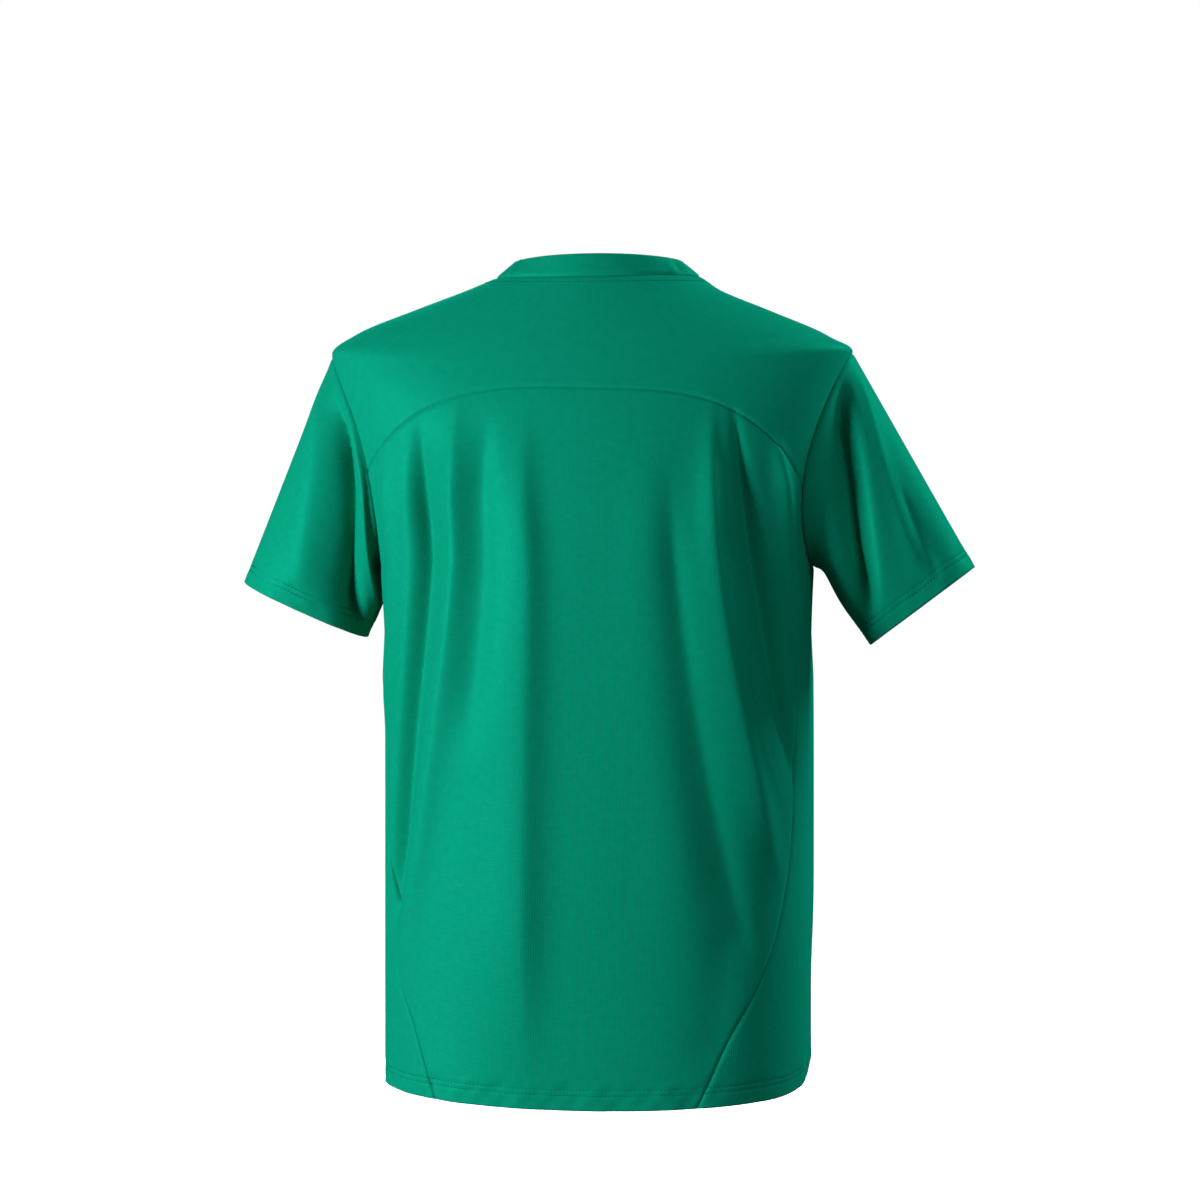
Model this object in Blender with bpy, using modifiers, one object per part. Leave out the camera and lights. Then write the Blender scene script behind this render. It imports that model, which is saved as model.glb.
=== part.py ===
"""Football jersey with short sleeves, a round standing collar, a back yoke and curved side panels.

The cloth is worn and hangs hollow. The front faces -Y, the back +Y, and the wearer's left is +X.
The origin is the middle of the neck at the height of the shoulders, where the garment is held up.
Every panel is a region of one body form, bounded by its seams, and each sleeve is a tube that
starts on its armhole. Tables and sizes are in millimetres and degrees.
"""
import math
from collections import namedtuple

import bpy
import numpy as np

for existing in list(bpy.data.objects):
    bpy.data.objects.remove(existing, do_unlink=True)

MM = 0.001

# ---- cloth and seams
CLOTH_THICKNESS = 1.2
HEM_THICKNESS = 2.2
COLLAR_THICKNESS = 2.4
HEM_DEPTH = 18.0
HEM_STEP = 1.5
PANEL_INSET = 0.27
ARMHOLE_EASE = 1.4
COLLAR_EASE = 1.3

# ---- mesh density: how many cloth cells lie along each stretch of a seam
HEM_CELLS = 2
SIDE_SEAM_CELLS = 12
BACK_ARMHOLE_CELLS = 5
YOKE_ARMHOLE_CELLS = 7
FRONT_ARMHOLE_CELLS = 9
SHOULDER_SEAM_CELLS = 5
BACK_CELLS = 20
FRONT_CELLS = 18
SIDE_PANEL_CELLS = 9
SLEEVE_CELLS = 8
COLLAR_CELLS = 2

# ---- body form: rings from the hem up to the neck seam. Heights are given at the middle of the
# back, at the side and at the middle of the front, depths are measured from the shoulder plane.
# From the side to the middle of the back or front the height falls as a power of the cosine.
BACK_FALL_POWER = 2.0
FRONT_FALL_POWER = 1.35

# The right arm is held out, so the shoulders sit a little to the wearer's left of the neck
# (shift_x) and the right shoulder's line hangs a little lower (right_drop).
BodyRing = namedtuple(
    "BodyRing", "back_z side_z front_z half_width shift_x right_drop back_y front_y roundness")
BODY_RINGS = (
    BodyRing(-706.0, -698.0, -704.0, 186.5, 0.0, 0.0, 124.0, 130.0, 2.45),
    BodyRing(-600.0, -596.0, -600.0, 186.5, 0.0, 0.0, 122.0, 129.0, 2.45),
    BodyRing(-450.0, -449.0, -450.0, 186.5, 0.0, 0.0, 124.0, 131.0, 2.40),
    BodyRing(-330.0, -330.0, -334.0, 186.5, 0.0, 0.0, 128.0, 137.0, 2.40),
    BodyRing(-255.0, -251.0, -270.0, 190.0, 1.0, 0.0, 129.0, 140.0, 2.35),
    BodyRing(-190.0, -184.0, -222.0, 205.0, 4.0, 0.0, 126.0, 137.0, 2.25),
    BodyRing(-125.0, -113.0, -176.0, 221.0, 6.0, 1.0, 116.0, 126.0, 2.10),
    BodyRing(-100.0, -84.0, -158.0, 226.5, 7.0, 1.0, 108.5, 118.0, 2.05),
    BodyRing(-80.0, -61.0, -143.0, 230.0, 7.0, 2.0, 100.0, 109.0, 2.00),
    BodyRing(-62.0, -44.0, -127.0, 209.0, 6.0, 6.0, 92.0, 101.0, 2.00),
    BodyRing(-37.0, -23.0, -109.0, 158.0, 4.0, 5.0, 79.0, 91.0, 2.00),
    BodyRing(-14.0, -6.0, -94.0, 113.0, 2.0, 4.0, 66.0, 79.0, 2.00),
    BodyRing(0.0, 4.0, -85.0, 90.0, 0.0, 0.0, 58.0, 71.0, 2.00),
)

# The worn cloth is turned a little toward the wearer's left as it falls from the armholes, and
# the hem is caught up at the right side.
HEM_TWIST = 5.0
TWIST_START = -255.0
CATCH_ANGLE = -100.0
CATCH_SPREAD = 22.0
CATCH_HEIGHT = 26.0
CATCH_REACH = 110.0

# ---- the side panels' seams, the same at the back and, mirrored, at the front
SideSeamPoint = namedtuple("SideSeamPoint", "level angle")
SIDE_SEAM = (
    SideSeamPoint(-706.0, 35.0),
    SideSeamPoint(-651.0, 43.0),
    SideSeamPoint(-609.0, 51.0),
    SideSeamPoint(-560.0, 59.0),
    SideSeamPoint(-479.0, 66.0),
    SideSeamPoint(-364.0, 69.0),
    SideSeamPoint(-255.0, 72.0),
)

# ---- armholes and the shoulder seam, which lies a little in front of the shoulder's ridge
ARMHOLE_TOP = -80.0
ARMHOLE_BOTTOM = -254.0
ARMHOLE_BACK_SPREAD = 31.0
ARMHOLE_FRONT_SPREAD = 26.0
ARMHOLE_SQUARENESS = 0.8
SHOULDER_SEAM_ANGLE = 97.0

# ---- the arched yoke seam: flat across the middle and falling to each armhole
YOKE_MIDDLE_LEVEL = -99.5
YOKE_REACH_ANGLE = 65.0
YOKE_DROP = {+1: 86.0, -1: 88.0}
YOKE_POWER = {+1: 2.7, -1: 3.6}
YOKE_TILT = 8.0

# ---- the sleeve ends: outermost and innermost points of each opening
SleeveEnd = namedtuple("SleeveEnd", "outer_x outer_z inner_x inner_z middle_y half_depth roundness")
SLEEVE_ENDS = {
    +1: SleeveEnd(317.0, -262.0, 208.0, -311.0, -4.0, 47.0, 2.2),
    -1: SleeveEnd(328.0, -250.0, 239.0, -317.0, -4.0, 47.0, 2.2),
}

# ---- under the arm the sleeve first leaves the body outward, then turns down. The early bow
# peaks close to the armhole and the late bow halfway along.
UnderarmBow = namedtuple("UnderarmBow", "early_out early_up late_out")
UNDERARM_BOWS = {
    +1: UnderarmBow(5.0, 2.0, -4.0),
    -1: UnderarmBow(3.5, 4.0, 0.0),
}
BOW_POWER = 6.0

# ---- collar: the band stands on the neck seam and leans inward
COLLAR_RISE_BACK = 19.0
COLLAR_RISE_SIDE = 13.0
COLLAR_RISE_FRONT = 12.0
COLLAR_LEAN_SIDE = 16.0
COLLAR_LEAN_BACK = 6.0
COLLAR_LEAN_FRONT = 14.0

# ---- the largest folds of the body. A fold runs from one angle and level to another, is as wide
# as its two flanks and as high as its crest, and a negative height is a trough.
BodyFold = namedtuple("BodyFold", "top_level top_angle low_level low_angle flank_a flank_b height")
BODY_FOLDS = (
    BodyFold(-122.0, 36.0, -560.0, 60.0, 9.0, 6.0, -7.0),
    BodyFold(-104.0, 28.5, -600.0, 51.0, 8.0, 6.0, 4.0),
    BodyFold(-104.0, 12.0, -700.0, 10.0, 9.0, 17.0, 5.0),
    BodyFold(-170.0, -22.0, -600.0, -51.0, 6.0, 11.0, -4.5),
    BodyFold(-104.0, -31.5, -540.0, -61.0, 6.0, 11.0, 5.5),
    BodyFold(-114.0, -36.0, -450.0, -69.0, 6.0, 8.0, -6.0),
    BodyFold(-140.0, -49.0, -350.0, -71.0, 7.0, 9.0, 4.0),
    BodyFold(-230.0, 155.0, -620.0, 160.0, 8.0, 8.0, 4.0),
    BodyFold(-230.0, -158.0, -600.0, -150.0, 7.0, 9.0, 4.0),
    BodyFold(-260.0, 178.0, -640.0, 172.0, 9.0, 9.0, -4.0),
    BodyFold(-300.0, 92.0, -560.0, 88.0, 7.0, 7.0, -2.0),
    BodyFold(-300.0, -92.0, -560.0, -90.0, 7.0, 7.0, -2.0),
)

# ---- the largest folds of the sleeves, from a turn and place near the armhole to those near the end
SleeveFold = namedtuple("SleeveFold", "side turn_a place_a turn_b place_b flank_a flank_b height")
SLEEVE_FOLDS = (
    SleeveFold(+1, 30.0, 0.08, 92.0, 1.08, 22.0, 20.0, 4.0),
    SleeveFold(+1, 52.0, 0.06, 150.0, 1.00, 26.0, 14.0, -6.0),
    SleeveFold(+1, 90.0, 0.06, 170.0, 0.75, 14.0, 14.0, 3.0),
    SleeveFold(+1, 300.0, 0.10, 275.0, 1.05, 18.0, 18.0, 3.0),
    SleeveFold(+1, 255.0, 0.15, 235.0, 1.00, 16.0, 16.0, -4.0),
    SleeveFold(-1, 26.0, 0.08, 124.0, 1.08, 20.0, 12.0, 3.0),
    SleeveFold(-1, 38.0, 0.04, 146.0, 0.98, 12.0, 22.0, -6.0),
    SleeveFold(-1, 300.0, 0.10, 280.0, 1.05, 18.0, 18.0, 3.0),
    SleeveFold(-1, 250.0, 0.15, 230.0, 1.00, 16.0, 16.0, -4.0),
)
FOLD_FADE = 0.22


def smooth_slopes(places, values):
    """Slopes for a smooth line through a table's rows that never overshoots them."""
    rates = np.diff(values) / np.diff(places)
    slopes = np.zeros(len(values))
    slopes[0] = rates[0]
    slopes[-1] = rates[-1]
    for i in range(1, len(values) - 1):
        if rates[i - 1] * rates[i] > 0.0:
            slopes[i] = 2.0 * rates[i - 1] * rates[i] / (rates[i - 1] + rates[i])
    return slopes


class SmoothTable:
    """A short table whose columns are read smoothly at any value of its first column."""

    def __init__(self, rows):
        ordered = sorted(rows, key=lambda row: row[0])
        self.places = np.array([row[0] for row in ordered])
        self.columns = {}
        for index, name in enumerate(ordered[0]._fields):
            values = np.array([row[index] for row in ordered])
            self.columns[name] = (values, smooth_slopes(self.places, values))

    def read(self, name, place):
        """The value of one column."""
        values, slopes = self.columns[name]
        index = int(np.searchsorted(self.places, place)) - 1
        index = min(max(index, 0), len(self.places) - 2)
        span = self.places[index + 1] - self.places[index]
        t = (place - self.places[index]) / span
        start = (2.0 * t - 3.0) * t * t + 1.0
        leave = ((t - 2.0) * t + 1.0) * t
        arrive = (t - 1.0) * t * t
        return (start * values[index] + (1.0 - start) * values[index + 1]
                + span * (leave * slopes[index] + arrive * slopes[index + 1]))


RINGS = SmoothTable(BODY_RINGS)
SEAM = SmoothTable(SIDE_SEAM)
HEM_LEVEL = BODY_RINGS[0].back_z
NECK_LEVEL = BODY_RINGS[-1].back_z


def superellipse_scale(sine, cosine, roundness):
    """How far a direction reaches on a unit superellipse."""
    return (abs(sine) ** roundness + abs(cosine) ** roundness) ** (-1.0 / roundness)


def bell(distance, flank_a, flank_b):
    """A soft crest with its own width on each side."""
    width = flank_a if distance < 0.0 else flank_b
    return math.exp(-(distance / width) ** 2)


def fade(t):
    """Rises from nothing at the start of a fold and falls again at its end."""
    if t <= 0.0 or t >= 1.0:
        return 0.0
    edge = min(t, 1.0 - t) / FOLD_FADE
    edge = min(edge, 1.0)
    return edge * edge * (3.0 - 2.0 * edge)


def turn_difference(angle, other):
    """The shortest way round from one angle to another."""
    return (angle - other + 180.0) % 360.0 - 180.0


def body_fold_height(angle, level):
    """How far the folds lift the body cloth."""
    height = 0.0
    for fold in BODY_FOLDS:
        t = (fold.top_level - level) / (fold.top_level - fold.low_level)
        strength = fade(t)
        if strength > 0.0:
            middle = fold.top_angle + t * (fold.low_angle - fold.top_angle)
            away = turn_difference(angle, middle)
            height += fold.height * strength * bell(away, fold.flank_a, fold.flank_b)
    return height


def body_point(angle, level):
    """A point of the worn body. Angle 0 is the middle of the back, +90 the wearer's left side."""
    fallen = max(TWIST_START - level, 0.0) / (TWIST_START - HEM_LEVEL)
    worn = angle + HEM_TWIST * fallen
    sine = math.sin(math.radians(worn))
    cosine = math.cos(math.radians(worn))
    half_width = RINGS.read("half_width", level)
    side_z = RINGS.read("side_z", level)
    if cosine >= 0.0:
        depth = RINGS.read("back_y", level)
        end_z = RINGS.read("back_z", level)
        fall = cosine ** BACK_FALL_POWER
    else:
        depth = RINGS.read("front_y", level)
        end_z = RINGS.read("front_z", level)
        fall = (-cosine) ** FRONT_FALL_POWER
    reach = superellipse_scale(sine, cosine, RINGS.read("roundness", level))
    outward = np.array([sine / half_width, cosine / depth, 0.0])
    outward /= np.linalg.norm(outward)
    caught = bell(turn_difference(worn, CATCH_ANGLE), CATCH_SPREAD, CATCH_SPREAD)
    low = max(1.0 - (level - HEM_LEVEL) / CATCH_REACH, 0.0) ** 2
    lowered = RINGS.read("right_drop", level) * max(-sine, 0.0) ** 2
    point = np.array([
        RINGS.read("shift_x", level) + half_width * reach * sine,
        depth * reach * cosine,
        side_z + (end_z - side_z) * fall + CATCH_HEIGHT * caught * low - lowered,
    ])
    return point + outward * body_fold_height(angle, level)


def armhole_place(turn):
    """Angle and level on the left armhole. Turn 0 is the shoulder seam, 90 the back, 180 the
    underarm and 270 the front."""
    sine = math.sin(math.radians(turn))
    drop = (1.0 - math.cos(math.radians(turn))) / 2.0
    swing = math.copysign(abs(sine) ** ARMHOLE_SQUARENESS, sine)
    spread = ARMHOLE_BACK_SPREAD if sine > 0.0 else ARMHOLE_FRONT_SPREAD
    middle = SHOULDER_SEAM_ANGLE + (90.0 - SHOULDER_SEAM_ANGLE) * drop
    return middle - spread * swing, ARMHOLE_TOP + (ARMHOLE_BOTTOM - ARMHOLE_TOP) * drop


def yoke_level(side, angle):
    """Height of the yoke seam."""
    share = abs(math.sin(math.radians(angle))) / math.sin(math.radians(YOKE_REACH_ANGLE))
    tilt = YOKE_TILT * math.sin(math.radians(angle))
    return YOKE_MIDDLE_LEVEL + tilt - YOKE_DROP[side] * share ** YOKE_POWER[side]


def crossing(miss, low, high):
    """Where a quantity passes through zero between two turns."""
    low_positive = miss(low) > 0.0
    for _ in range(50):
        middle = (low + high) / 2.0
        if (miss(middle) > 0.0) == low_positive:
            low = middle
        else:
            high = middle
    return (low + high) / 2.0


def back_seam_miss(turn):
    """How far the armhole is from the side panel's back seam."""
    angle, level = armhole_place(turn)
    return angle - SEAM.read("angle", level)


def front_seam_miss(turn):
    """How far the armhole is from the side panel's front seam."""
    angle, level = armhole_place(turn)
    return 180.0 - angle - SEAM.read("angle", level)


def yoke_miss(side):
    """How far the armhole is from the yoke seam."""
    def miss(turn):
        angle, level = armhole_place(turn)
        return level - yoke_level(side, angle)
    return miss


BACK_SEAM_TURN = crossing(back_seam_miss, 95.0, 180.0)
FRONT_SEAM_TURN = crossing(front_seam_miss, 180.0, 265.0)
YOKE_TURN = {side: crossing(yoke_miss(side), 30.0, BACK_SEAM_TURN) for side in (+1, -1)}


def spaced(start, end, cells):
    """Evenly spaced values that include both ends."""
    return [start + (end - start) * i / cells for i in range(cells + 1)]


def armhole_run(start, end, cells):
    """Places along the armhole between two turns."""
    return [armhole_place(turn) for turn in spaced(start, end, cells)]


def seam_run(turn):
    """Places up a side seam from the hem to the armhole, with close rows at the hem's top."""
    top = armhole_place(turn)[1]
    hem_top = HEM_LEVEL + HEM_DEPTH
    levels = spaced(HEM_LEVEL, hem_top, HEM_CELLS)
    levels += spaced(hem_top + HEM_STEP, top, SIDE_SEAM_CELLS)
    return [(SEAM.read("angle", level), level) for level in levels]


def shoulder_run():
    """Places along the shoulder seam from the armhole to the neck."""
    levels = spaced(ARMHOLE_TOP, NECK_LEVEL, SHOULDER_SEAM_CELLS)
    return [(SHOULDER_SEAM_ANGLE, level) for level in levels]


def yoke_run():
    """Places along the yoke seam from the right armhole to the left."""
    right = -armhole_place(YOKE_TURN[-1])[0]
    left = armhole_place(YOKE_TURN[+1])[0]
    angles = spaced(right, left, BACK_CELLS)
    return [(angle, yoke_level(+1 if angle > 0.0 else -1, angle)) for angle in angles]


def mirrored(run):
    """The same places on the wearer's other side."""
    return [(-angle, level) for angle, level in run]


def to_front(run):
    """The same places measured from the middle of the front."""
    return [(180.0 - angle, level) for angle, level in run]


def patch(lower, upper, first, last):
    """Fills a panel between its lower and upper edge and its two side edges."""
    lower = np.array(lower)
    upper = np.array(upper)
    first = np.array(first)
    last = np.array(last)
    rows = []
    heights = (first[:, 1] + last[:, 1]) / 2.0
    rise = (heights - heights[0]) / (heights[-1] - heights[0])
    for i, v in enumerate(rise):
        row = []
        for j in range(len(lower)):
            u = j / (len(lower) - 1.0)
            corners = ((1.0 - u) * (1.0 - v) * lower[0] + u * (1.0 - v) * lower[-1]
                       + (1.0 - u) * v * upper[0] + u * v * upper[-1])
            row.append((1.0 - v) * lower[j] + v * upper[j]
                       + (1.0 - u) * first[i] + u * last[i] - corners)
        rows.append(row)
    return rows


def body_rows(places):
    """The panel's places carried onto the body form."""
    return np.array([[body_point(angle, level) for angle, level in row] for row in places])


def moved_in(edge, inner, gap, closed):
    """An edge row moved toward its inner neighbour, square to the edge."""
    result = edge.copy()
    count = len(edge)
    for j in range(count):
        after = edge[(j + 1) % count] if closed else edge[min(j + 1, count - 1)]
        before = edge[(j - 1) % count] if closed else edge[max(j - 1, 0)]
        along = (after - before) / np.linalg.norm(after - before)
        inward = inner[j] - edge[j]
        inward -= along * inward.dot(along)
        result[j] = edge[j] + inward / np.linalg.norm(inward) * gap
    return result


def inset(rows, gap):
    """A panel drawn back from its seams on all four edges."""
    rows = rows.copy()
    rows[0] = moved_in(rows[0], rows[1], gap, False)
    rows[-1] = moved_in(rows[-1], rows[-2], gap, False)
    rows[:, 0] = moved_in(rows[:, 0], rows[:, 1], gap, False)
    rows[:, -1] = moved_in(rows[:, -1], rows[:, -2], gap, False)
    return rows


def add_cloth(name, rows, closed, thickness, hem_rows, colour, roughness):
    """Makes one cloth piece: an open surface thickened to both sides."""
    row_count, column_count = rows.shape[:2]
    points = [tuple(point * MM) for row in rows for point in row]
    faces = []
    spans = column_count if closed else column_count - 1
    for i in range(row_count - 1):
        for j in range(spans):
            after = (j + 1) % column_count
            here = i * column_count
            above = here + column_count
            faces.append((here + j, here + after, above + after, above + j))
    mesh = bpy.data.meshes.new(name)
    mesh.from_pydata(points, [], faces)
    mesh.update()
    piece = bpy.data.objects.new(name, mesh)
    COLLECTION.objects.link(piece)
    thicken = piece.modifiers.new("cloth_wall", "SOLIDIFY")
    thicken.offset = 0.0
    thicken.thickness = thickness * MM
    if hem_rows:
        thick = piece.vertex_groups.new(name="turned_hem")
        chosen = [i * column_count + j for i in hem_rows for j in range(column_count)]
        thick.add(chosen, 1.0, "REPLACE")
        thicken.thickness = HEM_THICKNESS * MM
        thicken.vertex_group = thick.name
        thicken.thickness_vertex_group = thickness / HEM_THICKNESS
    for face in mesh.polygons:
        face.use_smooth = True
    material = bpy.data.materials.new(name + "_cloth")
    material.use_nodes = True
    shader = material.node_tree.nodes["Principled BSDF"]
    shader.inputs["Base Color"].default_value = colour
    shader.inputs["Roughness"].default_value = roughness
    shader.inputs["Metallic"].default_value = 0.0
    mesh.materials.append(material)
    return piece


COLLECTION = bpy.data.collections.new("football_jersey")
bpy.context.scene.collection.children.link(COLLECTION)

GREEN = (0.002, 0.227, 0.136, 1.0)
YOKE_GREEN = (0.002, 0.232, 0.140, 1.0)
BAND_GREEN = (0.002, 0.220, 0.132, 1.0)
CLOTH_ROUGHNESS = 0.55
HEM_ROWS = tuple(range(HEM_CELLS + 1))

# ---- body panels
back_seam = seam_run(BACK_SEAM_TURN)
front_seam = to_front([(angle, level) for angle, level in seam_run(FRONT_SEAM_TURN)])
hem_back = [(angle, HEM_LEVEL) for angle in spaced(-back_seam[0][0], back_seam[0][0], BACK_CELLS)]
hem_front = [(angle, HEM_LEVEL)
             for angle in spaced(front_seam[0][0], 360.0 - front_seam[0][0], FRONT_CELLS)]
hem_side = [(angle, HEM_LEVEL)
            for angle in spaced(back_seam[0][0], front_seam[0][0], SIDE_PANEL_CELLS)]

back_left_edge = back_seam + armhole_run(
    BACK_SEAM_TURN, YOKE_TURN[+1], BACK_ARMHOLE_CELLS)[1:]
back_right_edge = mirrored(back_seam + armhole_run(
    BACK_SEAM_TURN, YOKE_TURN[-1], BACK_ARMHOLE_CELLS)[1:])
back_rows = body_rows(patch(hem_back, yoke_run(), back_right_edge, back_left_edge))
add_cloth("back_panel", inset(back_rows, PANEL_INSET), False, CLOTH_THICKNESS, HEM_ROWS,
          GREEN, CLOTH_ROUGHNESS)

yoke_left_edge = armhole_run(
    YOKE_TURN[+1], 0.0, YOKE_ARMHOLE_CELLS) + shoulder_run()[1:]
yoke_right_edge = mirrored(armhole_run(
    YOKE_TURN[-1], 0.0, YOKE_ARMHOLE_CELLS) + shoulder_run()[1:])
neck_back = [(angle, NECK_LEVEL)
             for angle in spaced(-SHOULDER_SEAM_ANGLE, SHOULDER_SEAM_ANGLE, BACK_CELLS)]
yoke_rows = body_rows(patch(yoke_run(), neck_back, yoke_right_edge, yoke_left_edge))
add_cloth("back_yoke", inset(yoke_rows, PANEL_INSET), False, CLOTH_THICKNESS, (),
          YOKE_GREEN, CLOTH_ROUGHNESS)

front_left_edge = front_seam + armhole_run(
    FRONT_SEAM_TURN, 360.0, FRONT_ARMHOLE_CELLS)[1:] + shoulder_run()[1:]
front_right_edge = [(360.0 - angle, level) for angle, level in front_left_edge]
neck_front = [(angle, NECK_LEVEL)
              for angle in spaced(SHOULDER_SEAM_ANGLE, 360.0 - SHOULDER_SEAM_ANGLE, FRONT_CELLS)]
front_rows = body_rows(patch(hem_front, neck_front, front_left_edge, front_right_edge))
add_cloth("front_panel", inset(front_rows, PANEL_INSET), False, CLOTH_THICKNESS, HEM_ROWS,
          GREEN, CLOTH_ROUGHNESS)

underarm = armhole_run(BACK_SEAM_TURN, FRONT_SEAM_TURN, SIDE_PANEL_CELLS)
for side, name in ((+1, "side_panel_left"), (-1, "side_panel_right")):
    places = patch(hem_side, underarm, back_seam, front_seam)
    if side < 0:
        places = [mirrored(row) for row in places]
    side_rows = inset(body_rows(places), PANEL_INSET)
    if side < 0:
        side_rows = side_rows[:, ::-1]
    add_cloth(name, side_rows, False, CLOTH_THICKNESS, HEM_ROWS, GREEN, CLOTH_ROUGHNESS)


def sleeve_turns(side):
    """Turns round the armhole where the panels' own cells meet the sleeve."""
    turns = spaced(0.0, YOKE_TURN[side], YOKE_ARMHOLE_CELLS)[:-1]
    turns += spaced(YOKE_TURN[side], BACK_SEAM_TURN, BACK_ARMHOLE_CELLS)[:-1]
    turns += spaced(BACK_SEAM_TURN, FRONT_SEAM_TURN, SIDE_PANEL_CELLS)[:-1]
    turns += spaced(FRONT_SEAM_TURN, 360.0, FRONT_ARMHOLE_CELLS)[:-1]
    return turns


def sleeve_end_point(side, turn):
    """A point on the sleeve's opening."""
    end = SLEEVE_ENDS[side]
    sine = math.sin(math.radians(turn))
    cosine = math.cos(math.radians(turn))
    reach = superellipse_scale(sine, cosine, end.roundness)
    middle_x = (end.outer_x + end.inner_x) / 2.0
    middle_z = (end.outer_z + end.inner_z) / 2.0
    along = cosine * reach / 2.0
    return np.array([
        side * (middle_x + (end.outer_x - end.inner_x) * along),
        end.middle_y + end.half_depth * sine * reach,
        middle_z + (end.outer_z - end.inner_z) * along,
    ])


def sleeve_fold_height(side, turn, place):
    """How far the folds lift the sleeve cloth."""
    height = 0.0
    for fold in SLEEVE_FOLDS:
        t = (place - fold.place_a) / (fold.place_b - fold.place_a)
        strength = fade(t)
        if fold.side == side and strength > 0.0:
            middle = fold.turn_a + t * (fold.turn_b - fold.turn_a)
            away = turn_difference(turn, middle)
            height += fold.height * strength * bell(away, fold.flank_a, fold.flank_b)
    return height


def underarm_bow(side, turn, place):
    """How the cloth under the arm departs from a straight line to the sleeve's opening."""
    bow = UNDERARM_BOWS[side]
    under = max(-math.cos(math.radians(turn)), 0.0) ** 1.5
    peak = 1.0 / (1.0 + BOW_POWER)
    early = place / peak * ((1.0 - place) / (1.0 - peak)) ** BOW_POWER
    late = 16.0 * (place * (1.0 - place)) ** 2
    out = side * (bow.early_out * early + bow.late_out * late)
    return np.array([out, 0.0, bow.early_up * early]) * under


def sleeve_point(side, turn, place):
    """A point of the sleeve, from its armhole at place 0 to its opening at place 1."""
    angle, level = armhole_place(turn)
    start = body_point(side * angle, level)
    end = sleeve_end_point(side, turn)
    across = sleeve_end_point(side, turn + 2.0) - sleeve_end_point(side, turn - 2.0)
    outward = np.cross(end - start, across) * side
    outward /= np.linalg.norm(outward)
    point = start + (end - start) * place
    return point + underarm_bow(side, turn, place) + outward * sleeve_fold_height(side, turn, place)


for side, name in ((+1, "sleeve_left"), (-1, "sleeve_right")):
    turns = sleeve_turns(side)
    lengths = [np.linalg.norm(sleeve_point(side, turn, 1.0) - sleeve_point(side, turn, 0.0))
               for turn in turns]
    columns = []
    for turn, length in zip(turns, lengths):
        hem_places = [1.0 - HEM_DEPTH / length - HEM_STEP / length, 1.0 - HEM_DEPTH / length, 1.0]
        places = spaced(ARMHOLE_EASE / length, hem_places[0], SLEEVE_CELLS) + hem_places[1:]
        columns.append([sleeve_point(side, turn, place) for place in places])
    sleeve_rows = np.array(columns).transpose(1, 0, 2)
    if side < 0:
        sleeve_rows = sleeve_rows[:, ::-1]
    last = len(sleeve_rows) - 1
    add_cloth(name, sleeve_rows, True, CLOTH_THICKNESS, (last - 1, last), GREEN, CLOTH_ROUGHNESS)


def collar_point(angle, place):
    """A point of the collar band, from the neck seam at place 0 to its folded top at place 1."""
    base = body_point(angle, NECK_LEVEL)
    sine = math.sin(math.radians(angle))
    cosine = math.cos(math.radians(angle))
    back = max(cosine, 0.0) ** 2
    front = max(-cosine, 0.0) ** 2
    rise = (COLLAR_RISE_SIDE * sine * sine + COLLAR_RISE_BACK * back + COLLAR_RISE_FRONT * front)
    lean = (COLLAR_LEAN_SIDE * sine * sine + COLLAR_LEAN_BACK * back + COLLAR_LEAN_FRONT * front)
    inward = -np.array([sine, cosine, 0.0])
    step = inward * lean + np.array([0.0, 0.0, rise])
    length = np.linalg.norm(step)
    share = (COLLAR_EASE + place * (length - COLLAR_EASE)) / length
    return base + step * share


collar_angles = spaced(-SHOULDER_SEAM_ANGLE, SHOULDER_SEAM_ANGLE, BACK_CELLS)[:-1]
collar_angles += spaced(SHOULDER_SEAM_ANGLE, 360.0 - SHOULDER_SEAM_ANGLE, FRONT_CELLS)[:-1]
collar_rows = np.array([[collar_point(angle, place) for angle in collar_angles]
                        for place in spaced(0.0, 1.0, COLLAR_CELLS)])
add_cloth("collar_band", collar_rows, True, COLLAR_THICKNESS, (), BAND_GREEN, CLOTH_ROUGHNESS)
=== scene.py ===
"""Looks of the football jersey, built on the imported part.

The front faces -Y, the back +Y, and the wearer's left is +X. Tables and sizes are in millimetres
and degrees unless their names say otherwise. The cloth is one body form with its seams drawn on
it, and each piece is a thin sheet of knit cut along those seams.
"""

import math  # noqa: E402
from collections import namedtuple  # noqa: E402
from functools import partial  # noqa: E402

import bpy  # noqa: E402
import numpy as np  # noqa: E402
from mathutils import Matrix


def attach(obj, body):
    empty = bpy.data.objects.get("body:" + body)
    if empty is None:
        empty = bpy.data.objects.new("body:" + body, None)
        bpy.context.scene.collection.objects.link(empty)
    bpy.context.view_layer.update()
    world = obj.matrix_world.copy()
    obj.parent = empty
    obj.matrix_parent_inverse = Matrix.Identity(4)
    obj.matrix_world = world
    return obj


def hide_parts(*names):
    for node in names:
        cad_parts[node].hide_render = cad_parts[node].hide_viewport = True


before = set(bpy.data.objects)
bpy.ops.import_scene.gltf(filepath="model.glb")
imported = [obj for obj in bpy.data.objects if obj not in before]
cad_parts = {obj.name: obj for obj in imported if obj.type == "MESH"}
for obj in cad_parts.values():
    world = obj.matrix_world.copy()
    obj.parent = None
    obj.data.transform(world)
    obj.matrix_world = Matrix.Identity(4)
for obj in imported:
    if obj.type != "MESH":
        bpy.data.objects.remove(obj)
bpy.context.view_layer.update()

MM = 0.001
SIDES = ((+1, "left"), (-1, "right"))

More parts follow.
